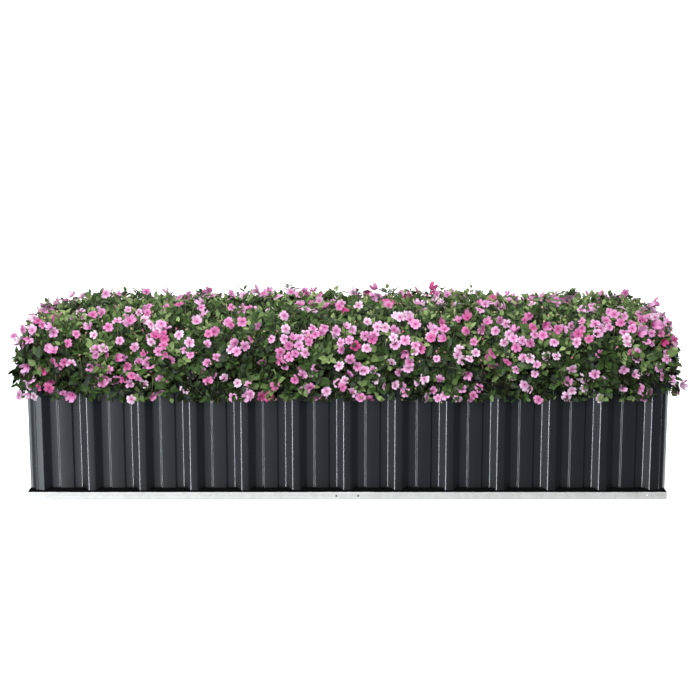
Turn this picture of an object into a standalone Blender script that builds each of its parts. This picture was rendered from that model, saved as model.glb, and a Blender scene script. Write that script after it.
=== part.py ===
# Planted raised bed: ribbed, painted steel sheets that stand in galvanised base rails, filled with
# potting soil and planted with two rows of busy lizzies. Metres, +Z up, the long sides along X and
# the front towards -Y. The origin is on the ground, under the middle of the bed.
import math

import bmesh
import bpy
from mathutils import Matrix, Vector

# Ribbed sheet: ribs stand out of the pan, and a low swage runs down the middle of each pan
RIB_PITCH = 0.1913
RIB_TOP = 0.028
RIB_SLOPE = 0.025
RIB_HEIGHT = 0.018
SWAGE_TOP = 0.050
SWAGE_SLOPE = 0.005
SWAGE_HEIGHT = 0.004
SHEET = 0.0008
LAP_STEP = 0.0015      # how far a lapped sheet lies behind its neighbour
LAP_EDGE = 0.020       # from the middle of the shared rib to a lapped edge

# The bed: pitches between the outermost ribs of a side, and what is left at each corner
LONG_PITCHES = 12
SHORT_PITCHES = 4
SHEET_PITCHES = 4
CORNER_MARGIN = 0.0522
LENGTH = LONG_PITCHES * RIB_PITCH + 2 * CORNER_MARGIN
WIDTH = SHORT_PITCHES * RIB_PITCH + 2 * CORNER_MARGIN
HEIGHT = 0.450
GAP = 0.0004           # air between pieces that touch in use

# Galvanised base: channels, corner and splice plates over their outer lips, and a black seal
PLATE = 0.0012
RAIL_STEEL = 0.0012
RAIL_HEIGHT = 0.028
RAIL_OUT = PLATE + GAP             # depth of a rail's outer face, measured in from the plates' face
RAIL_IN = 0.029
CORNER_PLATE_LEG = 0.103
SPLICE_PLATE_LENGTH = 0.203
PLATE_BOTTOM = 0.0005
SEAL_BOTTOM = 0.012
SEAL_TOP = 0.035

# Depths of the walls, measured in from the face of the corner plates
CREST = 0.005
WALL_END = 0.0315                  # from the outside of the bed to a wall's end
END_LEAN = 0.0015                  # how far a wall's end leans back from the crests, to its post
WALL_FOOT = RAIL_STEEL + GAP
POST_FACE = CREST + SHEET + LAP_STEP + GAP
POST_STEEL = 0.0012
POST_LEG = 0.046
POST_RADIUS = 0.022

# Top rails: channels turned over, which cap the sheets and the posts
TOP_RAIL_STEEL = 0.0010
TOP_RAIL_HEIGHT = 0.020
TOP_RAIL_OUT = CREST - GAP - TOP_RAIL_STEEL
WALL_TOP = HEIGHT - TOP_RAIL_STEEL - GAP

# Cross braces under the top rails
BRACE_X = 0.5101
BRACE_WIDTH = 0.025
BRACE_STEEL = 0.0015
BRACE_BOTTOM = 0.4035
BRACE_TOP = HEIGHT - TOP_RAIL_HEIGHT - GAP

SOIL_BOTTOM = 0.001
SOIL_TOP = 0.400

# Rivets through the plates and the rails' outer lips
RIVET_SHANK = 0.0020
RIVET_HEAD = 0.0042
RIVET_HEAD_HEIGHT = 0.0016
RIVET_LENGTH = 0.0029
RIVET_HOLE = 0.0024
RIVET_Z = 0.015
SPLICE_RIVET_X = 0.041
CORNER_RIVET_FROM_END = 0.073
CORNER_HOLE = 0.0023   # beside the bend of each corner plate, through the lips behind it
CORNER_HOLE_FROM_END = 0.0054
CORNER_HOLE_Z = 0.0053
DRILL_REACH = 0.009

# Plants: two rows, and how far a bush reaches beyond the walls
PLANT_COLUMNS = 7
COLUMN_SPACING = 0.340
OVER_END = 0.0785
OVER_SIDE = 0.0605
BUSH_MIDDLE = 0.515
BUSH_DROP = 0.165
BUSH_RISES = (0.205, 0.222, 0.210, 0.228, 0.208, 0.218, 0.204)
LOAF_POWER = 2.9       # of a row's cross-section: 2 is an ellipse, and more is a squarer one
ROW_POWER = 7.0        # of the bushes inside a row, along it: they meet flat
END_POWER = 3.4        # of the bushes at the ends
BUSH_GAP = 0.0012      # from a bush to the plane between it and its neighbour
BUSH_AIR = 0.003       # from a bush to what carries it
PLANT_TURN = 0.9       # radians, from one plant of a row to the next
TUFTS = 26             # leafy shoot tips that lump the surface
TUFT_DEPTH = 0.09
TUFT_SPREAD = 0.34     # radians

COLOURS = {
    "anthracite_paint": ((0.028, 0.034, 0.042), 0.0, 0.32),
    "galvanised_steel": ((0.62, 0.63, 0.64), 0.9, 0.38),
    "black_rubber": ((0.012, 0.012, 0.012), 0.0, 0.8),
    "zinc_rivet": ((0.30, 0.30, 0.31), 0.9, 0.4),
    "potting_soil": ((0.030, 0.018, 0.011), 0.0, 0.95),
    "busy_lizzie": ((0.055, 0.115, 0.035), 0.0, 0.6),
}


def clear_scene():
    for obj in list(bpy.data.objects):
        bpy.data.objects.remove(obj)


def new_collection(name, hidden=False):
    made = bpy.data.collections.new(name)
    made.hide_render = hidden
    bpy.context.scene.collection.children.link(made)
    return made


def new_material(name):
    colour, metallic, roughness = COLOURS[name]
    made = bpy.data.materials.new(name)
    made.use_nodes = True
    shader = made.node_tree.nodes["Principled BSDF"]
    shader.inputs["Base Color"].default_value = (*colour, 1)
    shader.inputs["Metallic"].default_value = metallic
    shader.inputs["Roughness"].default_value = roughness
    made.diffuse_color = (*colour, 1)
    return made


def object_from(bm, name, material, parent=None, group="bed"):
    """An object from a bmesh, in the bed's collection or in the cutters'."""
    bmesh.ops.recalc_face_normals(bm, faces=bm.faces)
    mesh = bpy.data.meshes.new(name)
    bm.to_mesh(mesh)
    bm.free()
    obj = bpy.data.objects.new(name, mesh)
    collections[group].objects.link(obj)
    obj.parent = parent
    if material:
        mesh.materials.append(materials[material])
    return obj


def cutter_from(bm, name, parent=None):
    obj = object_from(bm, name, None, parent, group="cutters")
    obj.hide_render = True
    obj.display_type = "WIRE"
    return obj


def cut(obj, *cutters, solver="EXACT"):
    for cutter in cutters:
        modifier = obj.modifiers.new("cut_by_" + cutter.name, "BOOLEAN")
        modifier.operation = "DIFFERENCE"
        modifier.solver = solver
        modifier.object = cutter


def box(low, high):
    """A bmesh of the box between two corners."""
    bm = bmesh.new()
    bmesh.ops.create_cube(bm, size=1)
    low, high = Vector(low), Vector(high)
    bmesh.ops.scale(bm, vec=high - low, verts=bm.verts)
    bmesh.ops.translate(bm, vec=(low + high) / 2, verts=bm.verts)
    return bm


def side_frame(name, turn, half_across):
    """An empty at the middle of a side's outer face: local +X along the side, +Y into the bed."""
    empty = bpy.data.objects.new("side_" + name, None)
    collections["bed"].objects.link(empty)
    empty.rotation_euler.z = math.radians(turn)
    empty.location = empty.rotation_euler.to_matrix() @ Vector((0, -half_across, 0))
    return empty


def channel(name, outline, span, mitred, material, parent):
    """A folded channel along local X. Its outline is (depth, z) points. A mitred end is cut at 45
    degrees: there the span is that of the bed's outer face, and each point steps in by its depth."""
    bm = bmesh.new()
    near = [bm.verts.new((span[0], depth, z)) for depth, z in outline]
    made = bmesh.ops.extrude_face_region(bm, geom=[bm.faces.new(near)])
    far = [v for v in made["geom"] if isinstance(v, bmesh.types.BMVert)]
    bmesh.ops.translate(bm, vec=(span[1] - span[0], 0, 0), verts=far)
    for verts, is_mitred, inwards in ((near, mitred[0], 1), (far, mitred[1], -1)):
        for v in verts:
            v.co.x += inwards * (v.co.y + GAP / 2 if is_mitred else GAP / 2)
    return object_from(bm, name, material, parent)


def u_outline(outside, inside, foot, top, steel):
    """A channel's section, open at the top, or at the bottom where top is below foot."""
    up = 1 if top > foot else -1
    return [
        (outside, foot), (inside, foot), (inside, top), (inside - steel, top),
        (inside - steel, foot + up * steel), (outside + steel, foot + up * steel),
        (outside + steel, top), (outside, top),
    ]


def folded_sheet(name, path, foot, top, thickness, material, parent):
    """A sheet folded along a plan path of (x, depth) points, with its outer face on the path."""
    bm = bmesh.new()
    low = [bm.verts.new((x, depth, foot)) for x, depth in path]
    edges = [bm.edges.new(pair) for pair in zip(low, low[1:])]
    made = bmesh.ops.extrude_edge_only(bm, edges=edges)
    high = [v for v in made["geom"] if isinstance(v, bmesh.types.BMVert)]
    bmesh.ops.translate(bm, vec=(0, 0, top - foot), verts=high)
    obj = object_from(bm, name, material, parent)
    facing_in = sum(face.normal.y for face in obj.data.polygons) > 0
    solid = obj.modifiers.new("thickness", "SOLIDIFY")
    solid.thickness = thickness
    solid.offset = 1 if facing_in else -1
    solid.use_even_offset = True
    return obj


def wall_path(first_rib, last_rib, start, end, step):
    """The plan path of a ribbed sheet: ribs are numbered from the middle of their side."""
    crest, pan = CREST + step, CREST + RIB_HEIGHT + step
    rib = [(-RIB_TOP / 2 - RIB_SLOPE, pan), (-RIB_TOP / 2, crest), (RIB_TOP / 2, crest),
           (RIB_TOP / 2 + RIB_SLOPE, pan)]
    swage = [(-SWAGE_TOP / 2 - SWAGE_SLOPE, pan), (-SWAGE_TOP / 2, pan - SWAGE_HEIGHT),
             (SWAGE_TOP / 2, pan - SWAGE_HEIGHT), (SWAGE_TOP / 2 + SWAGE_SLOPE, pan)]
    path = []
    number = first_rib
    while number <= last_rib:
        path += [(number * RIB_PITCH + x, depth) for x, depth in rib]
        if number < last_rib:
            path += [((number + 0.5) * RIB_PITCH + x, depth) for x, depth in swage]
        number += 1
    inside = [point for point in path if start < point[0] < end]
    return [(start, depth_at(path, start)), *inside, (end, depth_at(path, end))]


def depth_at(path, x):
    """The path's depth at x, level beyond its crests."""
    for (x0, depth0), (x1, depth1) in zip(path, path[1:]):
        if x0 <= x <= x1:
            return depth0 + (depth1 - depth0) * (x - x0) / (x1 - x0)
    return min(depth for _, depth in path)


def wall_sheets(side, pitches, length, parent):
    """The sheets of one wall, lapped on the ribs they share. The middle one lies behind."""
    count = pitches // SHEET_PITCHES
    wall_end = length / 2 - WALL_END
    for number in range(count):
        first = number * SHEET_PITCHES - pitches / 2
        last = first + SHEET_PITCHES
        is_first, is_last = number == 0, number == count - 1
        start = -wall_end if is_first else first * RIB_PITCH - LAP_EDGE
        end = wall_end if is_last else last * RIB_PITCH + LAP_EDGE
        step = 0 if is_first or is_last else LAP_STEP
        path = wall_path(first, last, start, end, step)
        if is_first:
            path = [point for point in path if point[0] == start or point[0] > first * RIB_PITCH]
            path[0] = (start, CREST + END_LEAN)
        if is_last:
            path = [point for point in path if point[0] == end or point[0] < last * RIB_PITCH]
            path[-1] = (end, CREST + END_LEAN)
        name = f"wall_{side}" if count == 1 else f"wall_{side}_{number + 1}"
        folded_sheet(name, path, WALL_FOOT, WALL_TOP, SHEET, "anthracite_paint", parent)


def corner_path(face, leg, radius, steps):
    """An angle round the corner at the left end of a side, at this depth on both of its sides."""
    path = [(face, leg + face)]
    for step in range(steps + 1):
        turn = math.radians(90) * step / steps
        path.append((face + radius * (1 - math.cos(turn)), face + radius * (1 - math.sin(turn))))
    return [*path, (leg + face, face)]


def round_cutter(name, centre, direction, radius, reach, parent):
    """A drill through centre along direction."""
    bm = bmesh.new()
    bmesh.ops.create_cone(bm, cap_ends=True, segments=12, radius1=radius, radius2=radius, depth=reach)
    turn = Vector(direction).to_track_quat("Z", "Y").to_matrix()
    bmesh.ops.rotate(bm, cent=(0, 0, 0), matrix=turn, verts=bm.verts)
    bmesh.ops.translate(bm, vec=centre, verts=bm.verts)
    return cutter_from(bm, name, parent)


def rivet(name, x, parent):
    """A round-head rivet set in along local +Y: a turned profile on the rivet's axis."""
    face = -RIVET_HEAD_HEIGHT
    profile = [(0, RIVET_LENGTH), (RIVET_SHANK, RIVET_LENGTH), (RIVET_SHANK, -GAP),
               (RIVET_HEAD, -GAP), (RIVET_HEAD * 0.94, face * 0.55), (RIVET_HEAD * 0.62, face * 0.93),
               (0, face)]
    mesh = bpy.data.meshes.new(name)
    mesh.from_pydata([(r, 0, y) for r, y in profile], [(i, i + 1) for i in range(len(profile) - 1)], [])
    obj = bpy.data.objects.new(name, mesh)
    collections["bed"].objects.link(obj)
    mesh.materials.append(materials["zinc_rivet"])
    turned = obj.modifiers.new("turned", "SCREW")
    turned.axis = "Z"
    turned.steps = turned.render_steps = 12
    turned.use_merge_vertices = True
    turned.merge_threshold = 0.00001
    obj.parent = parent
    obj.rotation_euler.x = math.radians(-90)
    obj.location = (x, 0, RIVET_Z)


def base(side, length, parent):
    """The base of one side: rails, the plate that joins them, the corner plate at its left end."""
    outline = u_outline(RAIL_OUT, RAIL_IN, 0, RAIL_HEIGHT, RAIL_STEEL)
    half = length / 2
    places = [-half + CORNER_RIVET_FROM_END, half - CORNER_RIVET_FROM_END]
    if length > WIDTH:
        rails = [channel(f"base_rail_{side}_left", outline, (-half, 0), (True, False),
                         "galvanised_steel", parent),
                 channel(f"base_rail_{side}_right", outline, (0, half), (False, True),
                         "galvanised_steel", parent)]
        places += [-SPLICE_RIVET_X, SPLICE_RIVET_X]
        splice = object_from(
            box((-SPLICE_PLATE_LENGTH / 2, 0, PLATE_BOTTOM),
                (SPLICE_PLATE_LENGTH / 2, PLATE, RAIL_HEIGHT)),
            f"base_splice_{side}", "galvanised_steel", parent)
    else:
        rails = [channel(f"base_rail_{side}", outline, (-half, half), (True, True),
                         "galvanised_steel", parent)]
        splice = None
    for number, x in enumerate(sorted(places)):
        drill = round_cutter(f"drill_{side}_{number + 1}", (x, 0, RIVET_Z), (0, 1, 0), RIVET_HOLE,
                             DRILL_REACH, parent)
        cut_where(rails, x, drill)
        if splice and abs(x) < SPLICE_PLATE_LENGTH / 2:
            cut(splice, drill)
        rivet(f"rivet_{side}_{number + 1}", x, parent)
    for end, x in (("left", CORNER_HOLE_FROM_END - half), ("right", half - CORNER_HOLE_FROM_END)):
        drill = round_cutter(f"drill_{side}_{end}_end", (x, 0, CORNER_HOLE_Z), (0, 1, 0), CORNER_HOLE,
                             DRILL_REACH, parent)
        cut_where(rails, x, drill)


def cut_where(rails, x, drill):
    """Drills the rail whose span takes in x."""
    for rail in rails:
        along = [v.co.x for v in rail.data.vertices]
        if min(along) < x < max(along):
            cut(rail, drill)


def corner_pieces(side, left_side, length, parent):
    """The angles at the left end of a side: the base's corner plate and the post."""
    name = f"{side}_left" if side in ("front", "back") else f"{left_side}_right"
    corner = bpy.data.objects.new("corner_" + name, None)
    collections["bed"].objects.link(corner)
    corner.parent = parent
    corner.location.x = -length / 2
    plate = folded_sheet("base_corner_" + name, corner_path(0, CORNER_PLATE_LEG, 0.002, 2),
                         PLATE_BOTTOM, RAIL_HEIGHT, PLATE, "galvanised_steel", corner)
    for kind, from_end, z, radius in (("rivet", CORNER_RIVET_FROM_END, RIVET_Z, RIVET_HOLE),
                                      ("end", CORNER_HOLE_FROM_END, CORNER_HOLE_Z, CORNER_HOLE)):
        cut(plate,
            round_cutter(f"drill_{kind}_along_{name}", (from_end, 0, z), (0, 1, 0), radius,
                         PLATE * 3, corner),
            round_cutter(f"drill_{kind}_across_{name}", (0, from_end, z), (1, 0, 0), radius,
                         PLATE * 3, corner))
    folded_sheet("corner_post_" + name, corner_path(POST_FACE, POST_LEG, POST_RADIUS, 9), WALL_FOOT,
                 WALL_TOP, POST_STEEL, "anthracite_paint", corner)


def top_rails(side, length, parent):
    outline = u_outline(TOP_RAIL_OUT, RAIL_IN - GAP, HEIGHT, HEIGHT - TOP_RAIL_HEIGHT, TOP_RAIL_STEEL)
    half = length / 2
    if length > WIDTH:
        spans = [("_left", (-half, 0), (True, False)), ("_right", (0, half), (False, True))]
    else:
        spans = [("", (-half, half), (True, True))]
    for end, span, mitred in spans:
        channel(f"top_rail_{side}{end}", outline, span, mitred, "anthracite_paint", parent)


def seal():
    """The rubber ring in the base channel, between the outer lips and the ribs of the walls."""
    outside, inside = RAIL_OUT + RAIL_STEEL + GAP, CREST - GAP
    bm = bmesh.new()
    rings = []
    for z in (SEAL_BOTTOM, SEAL_TOP):
        for depth in (outside, inside):
            x, y = LENGTH / 2 - depth, WIDTH / 2 - depth
            rings.append([bm.verts.new(p) for p in ((x, y, z), (-x, y, z), (-x, -y, z), (x, -y, z))])
    low_out, low_in, high_out, high_in = rings
    for one, other in ((low_out, high_out), (low_in, high_in), (low_out, low_in), (high_out, high_in)):
        for i in range(4):
            bm.faces.new((one[i], one[i - 1], other[i - 1], other[i]))
    object_from(bm, "base_seal", "black_rubber")


def cross_brace(name, x):
    """A channel across the bed, with a foot at each end that is screwed to the top rails."""
    end = WIDTH / 2 - RAIL_IN - GAP
    parent = bpy.data.objects.new("across_" + name, None)
    collections["bed"].objects.link(parent)
    parent.location.x = x
    parent.rotation_euler.z = math.radians(90)
    outline = u_outline(-BRACE_WIDTH / 2, BRACE_WIDTH / 2, BRACE_TOP, BRACE_BOTTOM, BRACE_STEEL)
    return channel(name, outline, (-end, end), (False, False), "galvanised_steel", parent)


def soil():
    depth = RAIL_IN + GAP
    bm = box((-LENGTH / 2 + depth, -WIDTH / 2 + depth, SOIL_BOTTOM),
             (LENGTH / 2 - depth, WIDTH / 2 - depth, SOIL_TOP))
    return object_from(bm, "soil", "potting_soil")


def bed_room():
    """What the bushes leave free: a trough round the walls, the top rails and the soil, and the
    two braces."""
    outside, inside = TOP_RAIL_OUT - BUSH_AIR, RAIL_IN + BUSH_AIR
    far_x, far_y = LENGTH / 2 - outside, WIDTH / 2 - outside
    bm = box((-far_x, -far_y, 0), (far_x, far_y, HEIGHT + BUSH_AIR))
    top = max(bm.faces, key=lambda face: face.calc_center_median().z)
    bmesh.ops.inset_region(bm, faces=[top], thickness=inside - outside, use_boundary=True,
                           use_even_offset=True)
    floor = bmesh.ops.extrude_discrete_faces(bm, faces=[top])["faces"][0]
    bmesh.ops.translate(bm, vec=(0, 0, SOIL_TOP - HEIGHT), verts=floor.verts)
    cutters = [cutter_from(bm, "room_trough")]
    for side, x in (("left", -BRACE_X), ("right", BRACE_X)):
        half = BRACE_WIDTH / 2 + BUSH_AIR
        corners = (x - half, -far_y, SOIL_TOP / 2), (x + half, far_y, BRACE_TOP + BUSH_AIR)
        cutters.append(cutter_from(box(*corners), "room_brace_" + side))
    return cutters


def tuft_directions():
    """Directions spread evenly over a ball, each the middle of a leafy shoot tip."""
    golden = math.pi * (3 - math.sqrt(5))
    for i in range(TUFTS):
        z = 1 - 2 * (i + 0.5) / TUFTS
        across = math.sqrt(1 - z * z)
        yield Vector((across * math.cos(golden * i), across * math.sin(golden * i), z))


def bush(name, centre, low, high, power, turn, room):
    """One plant's leafy mass: a full-shouldered ball, lumped by its shoot tips, that reaches from
    the low corner to the high one and hangs over the walls. The power is the one along the row."""
    bm = bmesh.new()
    bmesh.ops.create_uvsphere(bm, u_segments=22, v_segments=12, radius=1)
    tufts = [Matrix.Rotation(turn, 3, "Z") @ tuft for tuft in tuft_directions()]
    for v in bm.verts:
        x, y, z = v.co.normalized()
        loaf = (abs(y) ** LOAF_POWER + abs(z) ** LOAF_POWER) ** (power / LOAF_POWER)
        full = (abs(x) ** power + loaf) ** (-1 / power)
        nearest = min(v.co.angle(tuft) for tuft in tufts)
        v.co = Vector((x, y, z)) * full * (1 - TUFT_DEPTH * min(1, nearest / TUFT_SPREAD) ** 2)
    for axis in range(3):
        most = max(v.co[axis] for v in bm.verts)
        least = min(v.co[axis] for v in bm.verts)
        for v in bm.verts:
            reach = (high[axis] - centre[axis]) / most
            if v.co[axis] < 0:
                reach = (low[axis] - centre[axis]) / least
            v.co[axis] = centre[axis] + v.co[axis] * reach
    obj = object_from(bm, name, "busy_lizzie")
    obj.data.shade_smooth()
    near = [cutter for cutter in room if reaches(cutter, low, high)]
    cut(obj, *near, solver="MANIFOLD")     # EXACT loses the skirt of some bushes


def reaches(cutter, low, high):
    """Whether a cutter's span along the bed meets that of a bush."""
    along = [v.co.x for v in cutter.data.vertices]
    return min(along) < high[0] and max(along) > low[0]


def plants(room):
    half_x, half_y = LENGTH / 2 - CREST, WIDTH / 2 - CREST
    middle = (PLANT_COLUMNS - 1) / 2
    for row, towards in (("front", -1), ("back", 1)):
        for column in range(PLANT_COLUMNS):
            x = (column - middle) * COLUMN_SPACING
            y = towards * WIDTH / 4
            left = x - COLUMN_SPACING / 2 + BUSH_GAP if column else -half_x - OVER_END
            right = half_x + OVER_END if column == PLANT_COLUMNS - 1 else (
                x + COLUMN_SPACING / 2 - BUSH_GAP)
            near, far = sorted((towards * BUSH_GAP, towards * (half_y + OVER_SIDE)))
            rise = BUSH_RISES[column if towards < 0 else PLANT_COLUMNS - 1 - column]
            low = (left, near, BUSH_MIDDLE - BUSH_DROP)
            high = (right, far, BUSH_MIDDLE + rise)
            centre = (x, y, BUSH_MIDDLE)
            power = END_POWER if column in (0, PLANT_COLUMNS - 1) else ROW_POWER
            turn = column * PLANT_TURN + towards
            bush(f"busy_lizzie_{row}_{column + 1}", centre, low, high, power, turn, room)


clear_scene()
collections = {
    "bed": new_collection("planted_raised_bed"),
    "cutters": new_collection("cutters", hidden=True),
}
materials = {name: new_material(name) for name in COLOURS}

SIDES = (
    ("front", "left", 0, LENGTH, WIDTH, LONG_PITCHES),
    ("right", "front", 90, WIDTH, LENGTH, SHORT_PITCHES),
    ("back", "right", 180, LENGTH, WIDTH, LONG_PITCHES),
    ("left", "back", 270, WIDTH, LENGTH, SHORT_PITCHES),
)
for side, left_side, turn, length, across, pitches in SIDES:
    frame = side_frame(side, turn, across / 2)
    base(side, length, frame)
    corner_pieces(side, left_side, length, frame)
    wall_sheets(side, pitches, length, frame)
    top_rails(side, length, frame)
seal()
for side, x in (("left", -BRACE_X), ("right", BRACE_X)):
    cross_brace("cross_brace_" + side, x)
soil()
plants(bed_room())
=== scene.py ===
# Looks of the planted raised bed: dark ribbed sheets in a zinc base, full of pink busy lizzies.
# Run in Blender 4.5 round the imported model. Metres, +Z up, the front of the bed towards -Y.
import math

import bpy
import numpy as np
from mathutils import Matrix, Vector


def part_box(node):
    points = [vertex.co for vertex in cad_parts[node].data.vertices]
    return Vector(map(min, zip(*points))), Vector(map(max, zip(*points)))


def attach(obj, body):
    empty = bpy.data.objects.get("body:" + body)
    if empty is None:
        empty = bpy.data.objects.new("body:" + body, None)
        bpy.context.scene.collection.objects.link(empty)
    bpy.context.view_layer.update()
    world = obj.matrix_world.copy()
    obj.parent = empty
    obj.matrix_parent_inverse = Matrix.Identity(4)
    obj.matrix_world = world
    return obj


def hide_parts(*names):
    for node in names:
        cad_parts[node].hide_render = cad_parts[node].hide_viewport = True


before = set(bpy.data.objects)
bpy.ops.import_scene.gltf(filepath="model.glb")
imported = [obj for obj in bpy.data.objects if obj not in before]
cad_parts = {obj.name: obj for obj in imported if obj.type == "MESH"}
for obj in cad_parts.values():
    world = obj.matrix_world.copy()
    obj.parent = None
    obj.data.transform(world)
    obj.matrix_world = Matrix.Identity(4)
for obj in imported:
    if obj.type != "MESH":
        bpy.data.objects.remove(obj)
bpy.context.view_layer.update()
print("frame loaded:", len(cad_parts), "nodes")


# sRGB hex to linear red, green, blue and an alpha of 1
def linear(hexColour):
    parts = [int(hexColour[i:i + 2], 16) / 255 for i in (1, 3, 5)]
    return [p / 12.92 if p <= 0.04045 else ((p + 0.055) / 1.055) ** 2.4 for p in parts] + [1.0]


# A new object with this data, or with a mesh of these points and faces
def addObject(name, data=None, points=(), faces=()):
    if data is None:
        data = bpy.data.meshes.new(name)
        data.from_pydata(points, [], faces)
    made = bpy.data.objects.new(name, data)
    bpy.context.collection.objects.link(made)
    return made


camera = {
    "lens": 81.4, "sensor": 36, "clipEnd": 200, "place": (0.0103, -6.161, 1.693),
    "tilt": 11.07,      # degrees down
}
studio = {
    "backdrop": "#ffffff", "floor": "#f4f4f4", "floorSize": 60, "floorGlow": 0.8,
    # each lamp's place, size and power
    "lamps": {"key light": ((-0.9, -4.1, 2.9), 2.4, 225), "top light": ((0.3, 0.4, 4.2), 3.4, 40),
              "back light": ((2.6, 4.2, 3.0), 2.6, 100)},
    "aim": (0, 0, 0.4),
    # at the horizon, and what overhead and the front add to it
    "ambientLow": 0.12, "ambientRise": 0.42, "ambientFront": 0.24,
    # the room's radiance by its direction: 0 and 1 are behind the bed, 0.25 left, 0.5 front
    "room": [(0.0, 0.35), (0.12, 0.4), (0.145, 1.0), (0.16, 4.0), (0.18, 4.0), (0.22, 2.2),
             (0.25, 1.15), (0.28, 0.95), (0.32, 0.62), (0.40, 0.50), (0.43, 0.30), (0.468, 0.34),
             (0.5, 0.27), (0.54, 0.22), (0.56, 0.28), (0.64, 0.28), (0.66, 0.20), (0.735, 0.18),
             (0.765, 1.6), (0.79, 2.6), (0.82, 4.4), (0.84, 4.4), (0.855, 1.0), (0.88, 0.4),
             (1.0, 0.35)],
    "roomTint": "#eef6ff", "overhead": 0.75,
    # the strip's angles are in degrees, and its turn is 0 in front of the bed
    "stripTurn": -31.5, "stripHalfWidth": 3.0, "stripRise": (-25, 20), "stripDistance": 90,
    "stripGlow": 80,
}


def makeCamera():
    data = bpy.data.cameras.new("camera")
    data.lens, data.sensor_width = camera["lens"], camera["sensor"]
    data.clip_end = camera["clipEnd"]
    made = addObject("camera", data)
    made.location = camera["place"]
    made.rotation_euler.x = math.radians(90 - camera["tilt"])
    bpy.context.scene.camera = made


# A shader node. Settings are its properties or the values of its sockets, by name or by number.
# Links are the sockets that feed it: a name's spaces are underscores, and i0 is input 0.
def addNode(tree, kind, settings=(), **links):
    node = tree.nodes.new(kind)
    for name, value in dict(settings).items():
        if isinstance(name, int) or name in node.inputs:
            node.inputs[name].default_value = value
        else:
            setattr(node, name, value)
    for name, source in links.items():
        key = int(name[1:]) if name[0] == "i" and name[1:].isdigit() else name.replace("_", " ")
        if isinstance(source, (int, float, list, tuple)):
            node.inputs[key].default_value = source
        else:
            tree.links.new(source, node.inputs[key])
    return node


# One arithmetic step on sockets or numbers
def addMath(tree, operation, *values):
    links = {f"i{i}": value for i, value in enumerate(values)}
    return addNode(tree, "ShaderNodeMath", {"operation": operation}, **links).outputs[0]


# A colour ramp. Stops are (position, grey level or sRGB hex).
def addRamp(tree, factor, stops, mode="LINEAR"):
    node = addNode(tree, "ShaderNodeValToRGB", Fac=factor)
    ramp = node.color_ramp
    ramp.interpolation = mode
    while len(ramp.elements) < len(stops):
        ramp.elements.new(0.5)
    for element, (position, value) in zip(ramp.elements, stops):
        element.position = position
        element.color = linear(value) if isinstance(value, str) else [value] * 3 + [1]
    return node.outputs["Color"]


# A material with these constant socket values, and its nodes. The slot is not used.
def newMaterial(name, slot, **values):
    made = bpy.data.materials.new(name)
    made.use_nodes = True
    shader = made.node_tree.nodes["Principled BSDF"]
    for key, value in values.items():
        shader.inputs[key.replace("_", " ")].default_value = value
    return made, made.node_tree


# White to the camera and soft and plain as light. What the gloss reflects is a studio: bright at
# the left and dark at the front right.
def makeWorld():
    world = bpy.data.worlds.new("studio")
    bpy.context.scene.world = world
    world.use_nodes = True
    tree = world.node_tree
    tree.nodes.clear()
    way = addNode(tree, "ShaderNodeTexCoord").outputs["Generated"]
    parts = addNode(tree, "ShaderNodeSeparateXYZ", Vector=way)
    height = parts.outputs["Z"]
    overhead = addMath(tree, "MAXIMUM", addMath(tree, "MULTIPLY", height, studio["overhead"]), 0.0)
    front = addMath(tree, "MULTIPLY", parts.outputs["Y"], -1.0)
    turn = addMath(tree, "ARCTAN2", parts.outputs["X"], front)
    room = addRamp(tree, addMath(tree, "MULTIPLY_ADD", turn, 0.5 / math.pi, 0.5), studio["room"])
    around = addNode(tree, "ShaderNodeBackground", {"Color": linear(studio["roomTint"])},
                     Strength=room)
    above = addNode(tree, "ShaderNodeBackground", Strength=overhead)
    reflected = addNode(tree, "ShaderNodeAddShader", i0=around.outputs[0], i1=above.outputs[0])
    soft = addMath(tree, "MULTIPLY_ADD", addMath(tree, "MAXIMUM", height, 0.0),
                   studio["ambientRise"], studio["ambientLow"])
    soft = addMath(tree, "MULTIPLY_ADD", addMath(tree, "MAXIMUM", front, 0.0),
                   studio["ambientFront"], soft)
    soft = addNode(tree, "ShaderNodeBackground", Strength=soft)
    ray = addNode(tree, "ShaderNodeLightPath").outputs
    asLight = addNode(tree, "ShaderNodeMixShader", i0=ray["Is Glossy Ray"], i1=soft.outputs[0],
                      i2=reflected.outputs[0])
    asSeen = addNode(tree, "ShaderNodeBackground", {"Color": linear(studio["backdrop"])})
    mixed = addNode(tree, "ShaderNodeMixShader", i0=ray["Is Camera Ray"], i1=asLight.outputs[0],
                    i2=asSeen.outputs[0])
    addNode(tree, "ShaderNodeOutputWorld", Surface=mixed.outputs[0])


# A lamp at a place, turned to face the bed
def makeLight(name, place, size, power, aim=studio["aim"]):
    data = bpy.data.lights.new(name, "AREA")
    data.size = size
    data.energy = power
    made = addObject(name, data)
    made.location = place
    way = np.array(aim) - np.array(place)
    made.rotation_euler = (math.acos(-way[2] / np.linalg.norm(way)), 0,
                           math.atan2(way[1], way[0]) - math.pi / 2)
    return made


# A tall far strip light at the front left that the bends of the sheets pick up. It only shows in
# reflections. Its power is its radiance times pi and its area.
def makeStrip():
    far = studio["stripDistance"]
    turn, half = math.radians(studio["stripTurn"]), math.radians(studio["stripHalfWidth"])
    low, high = (far * math.tan(math.radians(angle)) for angle in studio["stripRise"])
    width, tall = 2 * far * math.tan(half), high - low
    middle = (low + high) / 2
    place = (far * math.sin(turn), -far * math.cos(turn), middle)
    made = makeLight("strip light", place, width, studio["stripGlow"] * math.pi * width * tall,
                     (0, 0, middle))
    made.data.shape = "RECTANGLE"
    made.data.size_y = tall
    made.data.color = linear(studio["roomTint"])[:3]
    made.visible_camera = False
    made.visible_diffuse = False
    return made


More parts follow.
